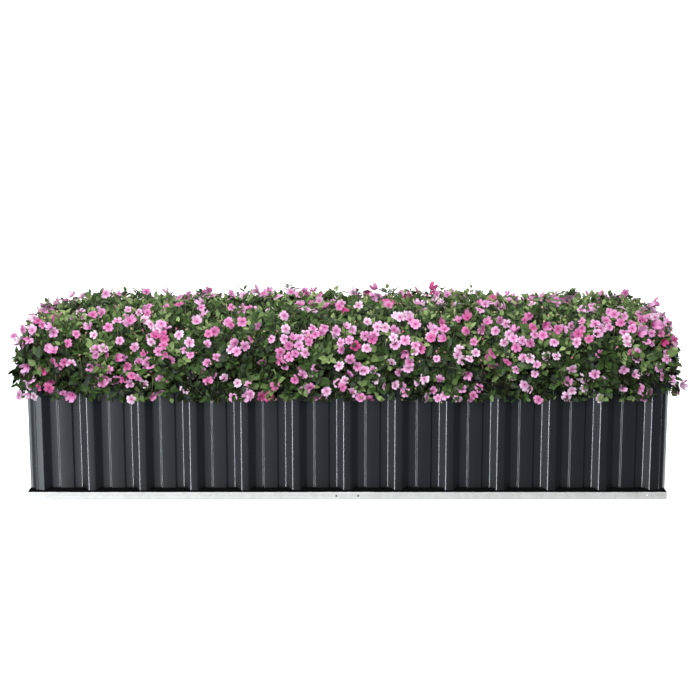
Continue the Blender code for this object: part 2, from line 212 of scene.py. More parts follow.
# A light shines on these pieces alone
def lightOnly(light, pieces):
    lit = bpy.data.collections.new("lit by the strip")
    for piece in pieces:
        lit.objects.link(piece)
    light.light_linking.receiver_collection = lit


# A pale floor that takes the bed's shadow and gives no light back
def makeFloor():
    half = studio["floorSize"] / 2
    made = addObject("floor", points=[(-half, -half, 0), (half, -half, 0), (half, half, 0),
                                      (-half, half, 0)], faces=[(0, 1, 2, 3)])
    pale = linear(studio["floor"])
    made.data.materials.append(newMaterial(
        "matt white floor paint", "floor", Base_Color=pale, Roughness=1.0, Specular_IOR_Level=0.0,
        Emission_Color=pale, Emission_Strength=studio["floorGlow"])[0])
    made.visible_diffuse = made.visible_glossy = made.visible_shadow = False


makeCamera()
makeWorld()
for name, (place, size, power) in studio["lamps"].items():
    makeLight(name, place, size, power)
strip = makeStrip()
makeFloor()
bpy.context.scene.view_settings.view_transform = "Standard"
print("camera, floor and lights made")


# A mesh piece that rides on the bed. Points are (n, 3) and faces (m, 4), where a triangle repeats
# its last corner. The uv and the tone have a value for every point. Edges sharper than sharpOver
# degrees stay sharp.
def makePiece(name, points, faces, material, uv=None, tone=None, replaces=(), sharpOver=None):
    faces = np.asarray(faces)
    isQuad = faces[:, 2] != faces[:, 3]
    keep = np.ones_like(faces, bool)
    keep[:, 3] = isQuad
    corners = faces[keep].astype(np.int32)
    counts = 3 + isQuad
    mesh = bpy.data.meshes.new(name)
    mesh.vertices.add(len(points))
    mesh.vertices.foreach_set("co", np.asarray(points, np.float32).ravel())
    mesh.loops.add(len(corners))
    mesh.loops.foreach_set("vertex_index", corners)
    mesh.polygons.add(len(faces))
    mesh.polygons.foreach_set("loop_start", (np.cumsum(counts) - counts).astype(np.int32))
    mesh.polygons.foreach_set("use_smooth", np.ones(len(faces), bool))
    mesh.update(calc_edges=True)
    if uv is not None:
        layer = mesh.uv_layers.new(name="along")
        layer.data.foreach_set("uv", np.asarray(uv, np.float32)[corners].ravel())
    if tone is not None:
        mesh.attributes.new("tone", "FLOAT", "POINT").data.foreach_set(
            "value", np.asarray(tone, np.float32).ravel())
    mesh.validate()
    if sharpOver:
        mesh.set_sharp_from_angle(angle=math.radians(sharpOver))
    mesh.materials.append(material)
    piece = addObject(name, mesh)
    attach(piece, "root")
    if replaces:
        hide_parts(*replaces)
    return piece


# The quads between the points of a rows by columns grid, numbered row by row
def gridFaces(rows, columns, closed=False):
    down, over = np.meshgrid(np.arange(rows - 1), np.arange(columns - (not closed)), indexing="ij")
    right = (over + 1) % columns
    quads = (down * columns + over, down * columns + right,
             (down + 1) * columns + right, (down + 1) * columns + over)
    return np.stack(quads, -1).reshape(-1, 4)


# The faces of a row of rings, and of the fans that close it at its first and last point. These two
# come after the rings.
def ringFaces(rings, count):
    over = np.arange(count)
    after = (over + 1) % count
    first, last = np.full(count, rings * count), np.full(count, rings * count + 1)
    end = (rings - 1) * count
    return np.concatenate([gridFaces(rings, count, closed=True),
                           np.stack([after, over, first, first], -1),
                           np.stack([end + over, end + after, last, last], -1)])


# The cosine and sine of each even step of a full turn
def circle(count):
    turn = np.arange(count) / count * 2 * np.pi
    return np.cos(turn), np.sin(turn)


def unit(vectors):
    return vectors / np.maximum(np.linalg.norm(vectors, axis=-1, keepdims=True), 1e-12)


# The path through the corners, with an arc of that radius at each bend: it starts r tan(a / 2)
# before its corner, where a is the turn, and its points are start + side (1 - cos) + way sin.
def rounded(corners, radius, steps):
    corners = np.asarray(corners, float)
    radii = np.broadcast_to(np.asarray(radius, float), len(corners))
    path = [corners[:1]]
    for i, corner in enumerate(corners[1:-1], 1):
        before, after = unit(corner - corners[i - 1]), unit(corners[i + 1] - corner)
        turn = math.atan2(before[0] * after[1] - before[1] * after[0], before @ after)
        if radii[i] <= 0 or abs(turn) < 1e-4:
            path.append(corner[None])
            continue
        start = corner - before * radii[i] * math.tan(abs(turn) / 2)
        side = np.array([-before[1], before[0]]) * math.copysign(radii[i], turn)
        angles = np.linspace(0, abs(turn), steps + 1)[:, None]
        path.append(start + side * (1 - np.cos(angles)) + before * radii[i] * np.sin(angles))
    return np.concatenate([*path, corners[-1:]])


# Left-hand normals of an open (x, y) path: the mean of its two runs at each point
def pathNormals(path):
    runs = unit(np.diff(path, axis=0))
    runs = unit(np.concatenate([runs[:1], runs[1:] + runs[:-1], runs[-1:]]))
    return np.stack([-runs[:, 1], runs[:, 0]], -1)


sides = {   # the turn of each side's own frame, and from the middle of the bed to its outer face
    "front": (0, -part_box("base_splice_front")[0].y),
    "right": (90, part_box("base_corner_front_right")[1].x),
    "back": (180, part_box("base_splice_back")[1].y),
    "left": (270, -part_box("base_corner_front_left")[0].x),
}
longSides = ("front", "back")
halfSpans = {side: sides["right" if side in longSides else "front"][1] for side in sides}
leftCorners = {"front": "front_left", "right": "front_right",     # as seen from outside
               "back": "back_left", "left": "back_right"}


# From a side's frame (x along it, y into the bed from its outer face, z up) to the bed's
def placeOnSide(points, side):
    turn, out = sides[side]
    c, s = math.cos(math.radians(turn)), math.sin(math.radians(turn))
    x, y, z = points[..., 0], points[..., 1] - out, points[..., 2]
    return np.stack([c * x - s * y, s * x + c * y, z], -1)


# A folded sheet: a face profile of (depth, z) points carried along a plan path of (x, y) points,
# where across is what one metre of depth adds in plan. The sheet's other face lies a thickness to
# the right of the profile, and its ends are closed.
def sweptSheet(plan, profile, thickness, across=None):
    across = pathNormals(plan) if across is None else across
    plan, across, profile = (np.asarray(part, float) for part in (plan, across, profile))
    ring = np.concatenate([profile, (profile - pathNormals(profile) * thickness)[::-1]])
    flat = plan[:, None] + across[:, None] * ring[None, :, :1]
    height = np.broadcast_to(ring[None, :, 1:], flat.shape[:2] + (1,))
    points = np.concatenate([flat, height], -1)
    rows, columns = points.shape[:2]
    near = np.arange(len(profile) - 1)
    far = columns - 1 - near
    startCap = np.stack([near, near + 1, far - 1, far], -1)
    endCap = startCap[:, ::-1] + (rows - 1) * columns
    sheet = gridFaces(rows, columns, closed=True)[:, ::-1]
    return points.reshape(-1, 3), np.concatenate([sheet, startCap, endCap])


crease = 38     # degrees: the ends and cut edges of a sheet are sharp, its bends are not


# A piece of the box in the place of its node, from points in its side's frame
def makePart(node, ending, side, points, faces, material):
    return makePiece(node + ending, placeOnSide(points, side), faces, material, replaces=[node],
                     sharpOver=crease)


def placeOnPiece(tree):
    return addNode(tree, "ShaderNodeTexCoord").outputs["Object"]


# Noise with blotches of about this many millimetres
def addSpeckle(tree, millimetres, detail=2.0):
    return addNode(tree, "ShaderNodeTexNoise", {"Scale": 1000 / millimetres, "Detail": detail},
                   Vector=placeOnPiece(tree)).outputs[0]


# Cells about this many millimetres across
def addCells(tree, millimetres):
    return addNode(tree, "ShaderNodeTexVoronoi", {"Scale": 1000 / millimetres},
                   Vector=placeOnPiece(tree)).outputs


# Two colours, each a socket or an sRGB hex, mixed by a factor
def mixColours(tree, factor, first, second, blend="MIX"):
    first, second = (linear(each) if isinstance(each, str) else each for each in (first, second))
    return addNode(tree, "ShaderNodeMix", {"data_type": "RGBA", "blend_type": blend},
                   i0=factor, i6=first, i7=second).outputs[2]


# A colour times a cloud that runs from this dark hex to white
def clouded(tree, colour, cloud, dark):
    return mixColours(tree, 1.0, colour, mixColours(tree, cloud, dark, "#ffffff"), "MULTIPLY")


# Wires a material up. Roughness is (pattern, span, least) and gives pattern x span + least. Bump is
# (pattern, strength, height in metres).
def finished(made, colour, roughness, bump, sunken=False):
    tree = made.node_tree
    height, strength, distance = bump
    raised = addNode(tree, "ShaderNodeBump", {"Strength": strength, "Distance": distance,
                                              "invert": sunken}, Height=height)
    sources = {"Base Color": colour, "Roughness": addMath(tree, "MULTIPLY_ADD", *roughness),
               "Normal": raised.outputs[0]}
    for name, source in sources.items():
        tree.links.new(source, tree.nodes["Principled BSDF"].inputs[name])
    return made


# Coil-coated polyester on sheet steel: a near-black slate, satin and very even from the coating
# line, so its tone comes from what it reflects. The sheet under it is very slightly uneven. Its
# foot is darkened by painted shade, a ragged dark band where it stands in the base.
def polyesterPaint():
    made, tree = newMaterial("polyester coil coating", "anthracite_paint", IOR=1.5)
    colour = mixColours(tree, addSpeckle(tree, 260, 3), "#10161b", "#151b21")
    height = addNode(tree, "ShaderNodeSeparateXYZ", Vector=placeOnPiece(tree)).outputs["Z"]
    # painted shade: below about 8 cm the colour darkens towards the foot, with a ragged edge
    footShade = addMath(tree, "MULTIPLY_ADD", addSpeckle(tree, 25, 3), 0.012, height)
    footShade = addRamp(tree, footShade, [(0.045, 0.8), (0.085, 0.0)])
    colour = mixColours(tree, footShade, colour, "#020304")
    return finished(made, colour, (addSpeckle(tree, 260, 2), 0.03, 0.255),
                    (addSpeckle(tree, 90, 0), 0.2, 0.0005))


# Hot-dip galvanised steel, skin passed: pale, chalky and even, with faint spangle in crystals of
# 9 mm and cloudy patches where the zinc has dulled.
def zincSteel():
    made, tree = newMaterial("galvanised steel", "galvanised_steel", Metallic=0.15)
    grey = addNode(tree, "ShaderNodeSeparateColor", Color=addCells(tree, 9)["Color"]).outputs[0]
    colour = clouded(tree, mixColours(tree, grey, "#d0d0ce", "#dbdbd9"), addSpeckle(tree, 120, 3),
                     "#f0f1f0")
    return finished(made, colour, (grey, 0.1, 0.45), (addSpeckle(tree, 6, 2), 0.15, 0.0001))


# Zinc-plated rivets: dulled by handling, or as pale as the rails
def zincPlate(name, dark, pale, metallic):
    made, tree = newMaterial(name, "zinc_rivet", Metallic=metallic)
    speckle = addSpeckle(tree, 2)
    return finished(made, mixColours(tree, speckle, dark, pale), (speckle, 0.1, 0.4),
                    (speckle, 0.2, 0.0001))


# Extruded rubber: black and matt from the die, with a dusty bloom, and darker still as painted
# shade of the channel behind the base's lips.
def rubberDarkAsShade():
    made, tree = newMaterial("extruded rubber", "black_rubber", Specular_IOR_Level=0.05)
    bloom = addSpeckle(tree, 30)
    return finished(made, mixColours(tree, bloom, "#010101", "#030303"), (bloom, 0.1, 0.85),
                    (addSpeckle(tree, 2), 0.2, 0.0001))


paint, zinc, rubber = polyesterPaint(), zincSteel(), rubberDarkAsShade()
dullZinc = zincPlate("dull zinc plate", "#4d4f51", "#77797b", 0.8)
paleZinc = zincPlate("pale zinc plate", "#c9cbcc", "#dcdedf", 0.3)

walls = {
    "pitch": 0.1913, "ribTop": 0.028, "ribSlope": 0.025, "ribHeight": 0.018,
    "ribFootBend": 0.0085, "ribTopBend": 0.011,
    "swageTop": 0.050, "swageSlope": 0.005, "swageHeight": 0.004, "swageBend": 0.003,
    "crest": 0.005, "lapStep": 0.0015, "steel": 0.0008,
    "wave": 0.00005,        # how far rolled sheet stands in and out
    # how far from the corners the free ends of the long and short sides stop, and the long ones'
    # lean back
    "longFree": (0.0315, 0.0225), "shortFree": (0.043, 0.043), "lean": 0.0034,
    "leftStep": 0.0016,     # how much deeper the left side stands
    "hemWidth": 0.0078, "hemHeight": 0.0021, "hemStep": 0.0014, "hemBend": 0.0005,
    "bendSteps": 6, "rows": 11,
    "sheets": {"front": 3, "right": 1, "back": 3, "left": 1},
    "pitches": {"front": 12, "right": 4, "back": 12, "left": 4},
}


# Where a node starts and ends along its side, in the side's own frame
def spanOnSide(node, side):
    low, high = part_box(node)
    return {"front": (low.x, high.x), "right": (low.y, high.y),
            "back": (-high.x, -low.x), "left": (-high.y, -low.y)}[side]


# The plan of a ribbed sheet: a trapezoid rib at each whole pitch and a low swage between them. A
# free end leans back from the last rib's crest and ends in a hem, raised like a ramp.
def ribbedPlan(first, last, start, end, step, free, lean):
    w = walls
    crest, pan = w["crest"] + step, w["crest"] + w["ribHeight"] + step
    numbers = np.arange(first, last + 1)
    ribHalf, swageHalf = w["ribTop"] / 2, w["swageTop"] / 2
    rib = [(-ribHalf - w["ribSlope"], pan, w["ribFootBend"]), (-ribHalf, crest, w["ribTopBend"]),
           (ribHalf, crest, w["ribTopBend"]), (ribHalf + w["ribSlope"], pan, w["ribFootBend"])]
    swage = [(-swageHalf - w["swageSlope"], pan), (-swageHalf, pan - w["swageHeight"]),
             (swageHalf, pan - w["swageHeight"]), (swageHalf + w["swageSlope"], pan)]
    corners = [(number * w["pitch"] + x, *more) for number in numbers for x, *more in rib]
    corners += [((number + 0.5) * w["pitch"] + x, depth, w["swageBend"]) for number in numbers[:-1]
                for x, depth in swage]
    corners = np.array(sorted(corners))
    corners = corners[2 if free[0] else 0:-2 if free[1] else None]
    inside = corners[(corners[:, 0] > start) & (corners[:, 0] < end)]
    ends = []
    for x, isFree, last in ((start, free[0], inside[0, 0]), (end, free[1], inside[-1, 0])):
        if isFree:
            along = np.array([0, w["hemWidth"], w["hemWidth"] + w["hemStep"]])
            depth = crest + lean * (1 - along / abs(last - x)) - [0, w["hemHeight"], 0]
            ends.append(np.column_stack([x + math.copysign(1, last - x) * along, depth,
                                         np.full(3, w["hemBend"])]))
        else:
            ends.append(np.array([[x, np.interp(x, corners[:, 0], corners[:, 1]), 0]]))
    corners = np.concatenate([ends[0], inside, ends[1][::-1]])
    return rounded(corners[:, :2], corners[:, 2], w["bendSteps"])


# Each wall's sheets, with a long slow ripple: sin(7.3 x + 4.1 z) + sin(13 z) of the wave's size
def makeWalls():
    for side, count in walls["sheets"].items():
        isLong = side in longSides
        margins = walls["longFree" if isLong else "shortFree"]
        each = walls["pitches"][side] // count
        for number in range(count):
            name = f"wall_{side}" + (f"_{number + 1}" if count > 1 else "")
            start, end = spanOnSide(name, side)
            first = number * each - walls["pitches"][side] // 2
            free = number == 0, number == count - 1
            start = margins[0] - halfSpans[side] if free[0] else start
            end = halfSpans[side] - margins[1] if free[1] else end
            step = walls["leftStep"] if side == "left" else 0 if any(free) else walls["lapStep"]
            plan = ribbedPlan(first, first + each, start, end, step, free,
                              walls["lean"] if isLong else 0)
            low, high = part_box(name)
            profile = np.stack([np.zeros(walls["rows"]),
                                np.linspace(low.z, high.z, walls["rows"])], -1)
            points, faces = sweptSheet(plan, profile, walls["steel"])
            ripple = np.sin(points[:, 0] * 7.3 + points[:, 2] * 4.1) + np.sin(points[:, 2] * 13)
            points[:, 1] += walls["wave"] * ripple
            makePart(name, "_sheet", side, points, faces, paint)


# how deep the posts' faces lie on the long sides and on the left and right
posts = {"longFace": 0.0092, "left": 0.0072, "right": 0.0018, "leg": 0.056, "bend": 0.037,
         "steel": 0.0012, "bendSteps": 14}


# Round the corner at the left end of a side, at these depths on that side and on the next
def cornerPlan(side, face, nextFace, leg, bend, steps):
    corner = nextFace - halfSpans[side]
    return rounded([(corner, leg + face), (corner, face), (leg + corner, face)], bend, steps)


def makePosts():
    for side, corner in leftCorners.items():
        name = "corner_post_" + corner
        face, nextFace = posts["longFace"], posts[corner.split("_")[1]]
        if side not in longSides:
            face, nextFace = nextFace, face
        plan = cornerPlan(side, face, nextFace, posts["leg"], posts["bend"], posts["bendSteps"])
        low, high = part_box(name)
        points, faces = sweptSheet(plan, [(0, low.z), (0, high.z)], posts["steel"])
        makePart(name, "_angle", side, points, faces, paint)


rails = {
    "height": 0.028, "in": 0.029, "steel": 0.0012, "bend": 0.002, "mitreGap": 0.0002,
    "face": 0.0016, "lip": 0.012, "plateFoot": 0.0005, "plateLeg": 0.103, "plateBend": 0.003,
    # the flattened bead of the top edge: its axis, and how far it stands out and up from that
    "beadDepth": 0.0034, "beadHeight": 0.0240, "beadOut": 0.0021, "beadUp": 0.0046,
    "beadSteps": 12,
    "railTurn": 100, "plateTurn": 55,       # how many degrees the bead turns past its outermost
    "topFace": 0.0036, "topIn": 0.0286, "topFoot": 0.43, "topHeight": 0.45, "topSteel": 0.001,
    "topBend": 0.0024,
}


# The bead over a face at this depth: an elliptic arc about the bead's axis from the face to the
# top and on to the given angle
def beadArc(face, upTo):
    r = rails
    out, up = r["beadOut"] + r["face"] - face, r["beadUp"] + r["face"] - face
    angles = np.linspace(-math.acos((r["beadDepth"] - face) / out), math.radians(upTo),
                         r["beadSteps"])
    return np.stack([r["beadDepth"] - out * np.cos(angles),
                     r["beadHeight"] + up * np.sin(angles)], -1)


# A straight run along a side whose ends are mitred, or square at a joint or as cut
def straightRun(side, node, profile, steel, mitred, material):
    start, end = spanOnSide(node, side)
    half = halfSpans[side] - rails["mitreGap"]
    plan = [(-half if mitred[0] else start, 0), (half if mitred[1] else end, 0)]
    across = [(1 if mitred[0] else 0, 1), (-1 if mitred[1] else 0, 1)]
    points, faces = sweptSheet(plan, profile, steel, across)
    return makePart(node, "_folded", side, points, faces, material)


def makeRails():
    r = rails
    base = rounded([(r["in"], r["height"]), (r["in"], 0), (r["face"], 0), (r["face"], r["lip"])],
                   r["bend"], 4)
    base = np.concatenate([base, beadArc(r["face"], r["railTurn"])])
    top = rounded([(r["topFace"], r["topFoot"]), (r["topFace"], r["topHeight"]),
                   (r["topIn"], r["topHeight"]), (r["topIn"], r["topFoot"])], r["topBend"], 5)
    plate = np.concatenate([[(0, r["plateFoot"]), (0, r["lip"])], beadArc(0, r["plateTurn"])])
    drills = makeDrills()
    for side in sides:
        ends = {"": (True, True)}
        if side in longSides:
            ends = {"_left": (True, False), "_right": (False, True)}
        for end, mitred in ends.items():
            rail = straightRun(side, f"base_rail_{side}{end}", base, r["steel"], mitred, zinc)
            drill(rail, drills)
            straightRun(side, f"top_rail_{side}{end}", top, r["topSteel"], mitred, paint)
        if side in longSides:
            straightRun(side, "base_splice_" + side, plate, r["steel"], (False, False), zinc)
        plan = cornerPlan(side, 0, 0, r["plateLeg"], r["plateBend"], 6)
        points, faces = sweptSheet(plan, plate, r["steel"])
        drill(makePart("base_corner_" + leftCorners[side], "_plate", side, points, faces, zinc),
              drills)
    bpy.data.objects.remove(drills)


hole = {"radius": 0.0023, "z": 0.0053, "fromEnd": 0.0054, "reach": 0.0045, "turns": 20}


# The round drills that go through the base's outer lip at both ends of each side
def makeDrills():
    h = hole
    c, s = circle(h["turns"])
    ring = h["radius"] * np.stack([c, 0 * c, s], -1)
    points = np.concatenate([ring - [0, h["reach"], 0], ring + [0, h["reach"], 0]])
    places = [(side, [way * (halfSpans[side] - h["fromEnd"]), 0, h["z"]])
              for side in sides for way in (-1, 1)]
    points = np.concatenate([placeOnSide(points + place, side) for side, place in places])
    faces = []
    for first in range(0, len(points), 2 * h["turns"]):
        loop = [first + i for i in range(h["turns"])]
        far = [i + h["turns"] for i in loop]
        faces += [loop[::-1], far]
        faces += [[loop[i - 1], loop[i], far[i], far[i - 1]] for i in range(h["turns"])]
    return addObject("drills", points=points.tolist(), faces=faces)


def drill(piece, drills):
    cut = piece.modifiers.new("drilled", "BOOLEAN")
    cut.object = drills
    bpy.context.view_layer.update()
    whole = piece.evaluated_get(bpy.context.evaluated_depsgraph_get())
    drilled = bpy.data.meshes.new_from_object(whole)
    piece.modifiers.clear()
    piece.data = drilled


rivets = {"head": 0.0042, "height": 0.0016, "edge": 0.0004, "z": 0.015, "shank": 0.002,
          "shankLength": 0.0028, "turns": 24, "rings": 7, "dullWithin": 0.1}


# Domed rivet heads: a profile r = R cos(a), height = h sin(a) turned about the rivet's axis, on a
# short straight edge, with a shank behind. Those in the middle of a side are dull.
def makeRivets():
    r = rivets
    profile = [(r["shank"], r["shankLength"]), (r["shank"], 0)]
    profile += [(r["head"], 0), (r["head"], -r["edge"])]
    profile += [(r["head"] * math.cos(a), -r["edge"] - (r["height"] - r["edge"]) * math.sin(a))
                for a in np.linspace(0, np.pi / 2, r["rings"])[1:-1]]
    radius, depth = np.array(profile).T[..., None]
    c, s = circle(r["turns"])
    body = np.stack([radius * c, depth + 0 * c, radius * s], -1).reshape(-1, 3)
    points = np.concatenate([body, [[0, r["shankLength"], 0], [0, -r["height"], 0]]])
    faces = ringFaces(len(profile), r["turns"])[:, [1, 0, 3, 2]]
    for name in sorted(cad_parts):
        if name.startswith("rivet_"):
            side = name.split("_")[1]
            middle = sum(spanOnSide(name, side)) / 2
            makePart(name, "_head", side, points + [middle, 0, r["z"]], faces,
                     dullZinc if abs(middle) < r["dullWithin"] else paleZinc)


seal = {"out": 0.0004, "foot": 0.0296, "shoulder": 0.0090, "top": 0.0395, "in": 0.0245,
        "bend": 0.002}


# The rubber filler that lies on the base's lips and closes them to the ribs: a sloped section
# carried round the bed with mitred corners
def makeSeal():
    s = seal
    corners = [(s["out"], s["foot"]), (s["shoulder"], s["top"]), (s["in"], s["top"]),
               (s["in"], s["foot"]), (s["out"], s["foot"])]
    section = rounded(corners, [0, s["bend"], 0, 0, 0], 4)[:-1]
    half = np.array([halfSpans["front"], halfSpans["right"]])
    ways = np.array([(-1, -1), (1, -1), (1, 1), (-1, 1)])
    points = np.array([[*(way * (half - depth)), z] for depth, z in section for way in ways])
    faces = gridFaces(len(section) + 1, 4, closed=True) % len(points)
    makePiece("base_seal_ring", points, faces[:, ::-1], rubber, replaces=["base_seal"],
              sharpOver=crease)


makeWalls()
makePosts()
makeRails()
makeRivets()
makeSeal()
for name in ("cross_brace_left", "cross_brace_right"):
    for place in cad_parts[name].material_slots:
        place.material = zinc
print("walls, posts, rails, rivets and seal made")

soilBed = {"seed": 3, "columns": 200, "rows": 74, "crumb": 0.0035, "clod": 0.005}


# Peat compost: crumbs and fibres, near black where damp, with pale bark and a white grain here and
# there
def pottingSoil():
    made, tree = newMaterial("peat compost", "potting_soil", Specular_IOR_Level=0.25)
    colour = addRamp(tree, addSpeckle(tree, 14, 5), [(0.3, "#1a120c"), (0.55, "#3a281c"),
                                                     (0.75, "#5e4632")])
    white = addRamp(tree, addCells(tree, 12)["Distance"], [(0.07, 1.0), (0.10, 0.0)], "CONSTANT")
    crumbs = addSpeckle(tree, 5, 6)
    return finished(made, mixColours(tree, white, colour, "#c9c2b4"), (crumbs, 0.2, 0.8),
                    (crumbs, 0.8, 0.003))


# The soil as a block whose top is z + clods + crumbs: slow waves and a random step at each point.
# Its sides drop straight from the top's border and its base is a fan.
def makeSoil():
    rng = np.random.default_rng(soilBed["seed"])
    low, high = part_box("soil")
    rows, columns = soilBed["rows"], soilBed["columns"]
    y, x = np.meshgrid(np.linspace(low.y, high.y, rows), np.linspace(low.x, high.x, columns),
                       indexing="ij")
    waves = np.sin(x * 23 + np.sin(y * 31) * 2) * np.sin(y * 37 + x * 5)
    z = high.z + soilBed["clod"] * (waves - 1)
    z += soilBed["crumb"] * (rng.random(z.shape) - 1)
    top = np.stack([x, y, z], -1).reshape(-1, 3)
    number = np.arange(rows * columns).reshape(rows, columns)
    border = np.concatenate([number[0], number[1:, -1], number[-1, -2::-1], number[-2:0:-1, 0]])
    foot = top[border] * [1, 1, 0] + [0, 0, low.z]
    count, start = len(border), rows * columns
    ring = np.arange(count)
    after = (ring + 1) % count
    sideFaces = np.stack([border, start + ring, start + after, border[after]], -1)
    centre = np.full(count, start + count)
    baseFaces = np.stack([start + after, start + ring, centre, centre], -1)
    points = np.concatenate([top, foot, [[0, 0, low.z]]])
    makePiece("soil_filling", points, np.concatenate([gridFaces(rows, columns), sideFaces,
              baseFaces]), pottingSoil(), replaces=["soil"])


makeSoil()
print("soil made")

loaf = {    # the outer form of all the plants together: superellipses along and across
    "halfLength": 1.238, "halfDepth": 0.468, "middle": 0.525, "rise": 0.148, "drop": 0.190,
    "topPower": 3.2, "skirtPower": 9.0, "endPower": 7.0, "skirtEndPower": 12.0,
    "lump": 0.014, "skirtLump": 0.004, "rimClear": 0.455,
    "reach": (1.290, 0.508, 0.768),       # how far out a leaf may stand
    "hem": (0.373, 0.388),                # where the lowest leaves end
}
endRail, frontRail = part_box("top_rail_right"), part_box("top_rail_front_left")
rim = {     # what the plants keep clear of: outer and inner distances from the middle of the bed
    "outX": endRail[1].x + 0.004, "outY": -frontRail[0].y + 0.004,
    "inX": endRail[0].x - 0.004, "inY": -frontRail[1].y - 0.004,
    "top": endRail[1].z + 0.006, "soil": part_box("soil")[1].z + 0.004,
    # what starts no further than this inside the outer distances hangs outside
    "leafSlack": 0.014, "stemSlack": 0.010,
}


# Random points (u, v) on the curve u^p + v^p = 1: that share of them even over v, the rest over u
def curvePoints(rng, power, share, count):
    first = rng.uniform(0, 1, count)
    second = (1 - first ** power) ** (1 / power)
    swapped = rng.random(count) < share
    return np.where(swapped, second, first), np.where(swapped, first, second)


# Points spread over the loaf |x / a|^q + (|y / b|^p + |z / c|^p)^(q / p) = 1 with its outward
# normals, where p and c change below its middle and the surface is lumped by sines
def sampleLoaf(rng, count):
    l = loaf
    a, b = l["halfLength"], l["halfDepth"]
    up = rng.random(count) < 0.6
    p, c = np.where(up, l["topPower"], l["skirtPower"]), np.where(up, l["rise"], l["drop"])
    q = np.where(up, l["endPower"], l["skirtEndPower"])
    along, size = curvePoints(rng, q, 0.25, count)
    wide, tall = curvePoints(rng, p, 0.45, count)
    sign = rng.choice([-1, 1], (2, count))
    local = np.stack([sign[0] * along * a, sign[1] * wide * size * b,
                      np.where(up, 1, -1) * tall * size * c], -1)
    ratio = np.abs(local) / np.stack([np.full(count, a), np.full(count, b), c], -1)
    steep = np.maximum(ratio[:, 1] ** p + ratio[:, 2] ** p, 1e-6) ** (q / p - 1)
    normals = unit(np.sign(local) * np.stack([ratio[:, 0] ** (q - 1) / a,
                   steep * ratio[:, 1] ** (p - 1) / b, steep * ratio[:, 2] ** (p - 1) / c], -1))
    x, y, z = local.T
    lump = np.sin(9.2 * x + 1) * np.sin(11 * y + 2) + 0.6 * np.sin(23 * x + 8 * z) * np.cos(19 * y)
    lump *= np.where(up, l["lump"], l["skirtLump"])
    points = local + [0, 0, l["middle"]] + normals * lump[:, None]
    x, y, z = points.T
    outside = (z > l["rimClear"]) | (np.abs(y) > rim["outY"]) | (np.abs(x) > rim["outX"])
    return points[outside], normals[outside]


# Keeps those points, in order, that are no nearer than the spacing to one already kept
def thinned(points, spacing):
    kept = np.zeros((len(points), 3))
    chosen = []
    for i, point in enumerate(points):
        near = kept[:len(chosen)] - point
        if not len(chosen) or np.einsum("ij,ij->i", near, near).min() > spacing ** 2:
            kept[len(chosen)] = point
            chosen.append(i)
    return np.array(chosen)


# Leaves and petals stay out of the walls and the rails: below the rim, what hangs outside is moved
# out to the outer distance, and what grows inside is moved in to the inner one. Points are
# (n, m, 3) and the anchors (n, 3) say which it is. One that reaches too far out is moved in
# whole, and one that hangs below its hem, a wave along the bed, is lifted whole.
def clearOfRim(points, anchors):
    furthest = np.abs(points).max(1, keepdims=True)
    points = points - np.sign(anchors)[:, None] * np.maximum(furthest - loaf["reach"], 0)
    low, high = loaf["hem"]
    along, across = anchors[:, 0], anchors[:, 1]
    wave = np.sin(along * 41 + 3 * np.sin(along * 17)) * np.sin(across * 31 + 1)
    hem = low + (high - low) * (0.5 + 0.5 * wave)
    points = points + upBy(np.maximum(hem - points[..., 2].min(1), 0))[:, None]
    size = np.abs(points)
    below = points[..., 2] < rim["top"]
    outY = (np.abs(across) > rim["outY"] - rim["leafSlack"])[:, None]
    outX = (np.abs(along) > rim["outX"] - rim["leafSlack"])[:, None] & ~outY
    inside = ~outX & ~outY
    x = np.where(below & outX, np.maximum(size[..., 0], rim["outX"]), size[..., 0])
    x = np.where(below & inside, np.minimum(x, rim["inX"]), x)
    y = np.where(below & outY, np.maximum(size[..., 1], rim["outY"]), size[..., 1])
    y = np.where(below & inside, np.minimum(y, rim["inY"]), y)
    z = np.where(inside, np.maximum(points[..., 2], rim["soil"]), points[..., 2])
    return np.stack([np.copysign(x, points[..., 0]), np.copysign(y, points[..., 1]), z], -1)


# Round stems along (n, k, 3) paths with (n, k) radii: a ring of points across the path at each
# step, across cos + upright sin, and a point that closes each end
def tubes(paths, radii, count):
    tangents = unit(np.gradient(paths, axis=1))
    across = unit(np.cross(tangents, [0.31, 0.17, 0.935]))      # a way that no stem takes
    upright = np.cross(tangents, across)
    c, s = circle(count)
    ring = across[:, :, None] * c[:, None] + upright[:, :, None] * s[:, None]
    points = (paths[:, :, None] + ring * radii[:, :, None, None]).reshape(len(paths), -1, 3)
    return (np.concatenate([points, paths[:, :1], paths[:, -1:]], 1),
            ringFaces(paths.shape[1], count))


# Points of cubic curves: (n, 4, 3) corners at (n, k) or (k,) parameters
def bezier(corners, t):
    t = np.broadcast_to(t, (len(corners), np.shape(t)[-1]))[..., None]
    p = [corners[:, i, None] for i in range(4)]
    return ((1 - t) ** 3 * p[0] + 3 * t * (1 - t) ** 2 * p[1] + 3 * t * t * (1 - t) * p[2]
            + t ** 3 * p[3])


# (n, 3) steps straight up by (n,) heights
def upBy(heights):
    return heights[:, None] * [0, 0, 1]


plantNodes = sorted(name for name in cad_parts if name.startswith("busy_lizzie_"))
crowns = np.array([[(low.x + high.x) / 2, math.copysign(sides["front"][1] / 2, low.y + high.y),
                    rim["soil"] - 0.006] for low, high in map(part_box, plantNodes)])


# Which plant each point belongs to: the one whose crown is nearest in plan
def nearestPlant(points):
    return np.linalg.norm(points[:, None, :2] - crowns[None, :, :2], axis=-1).argmin(1)


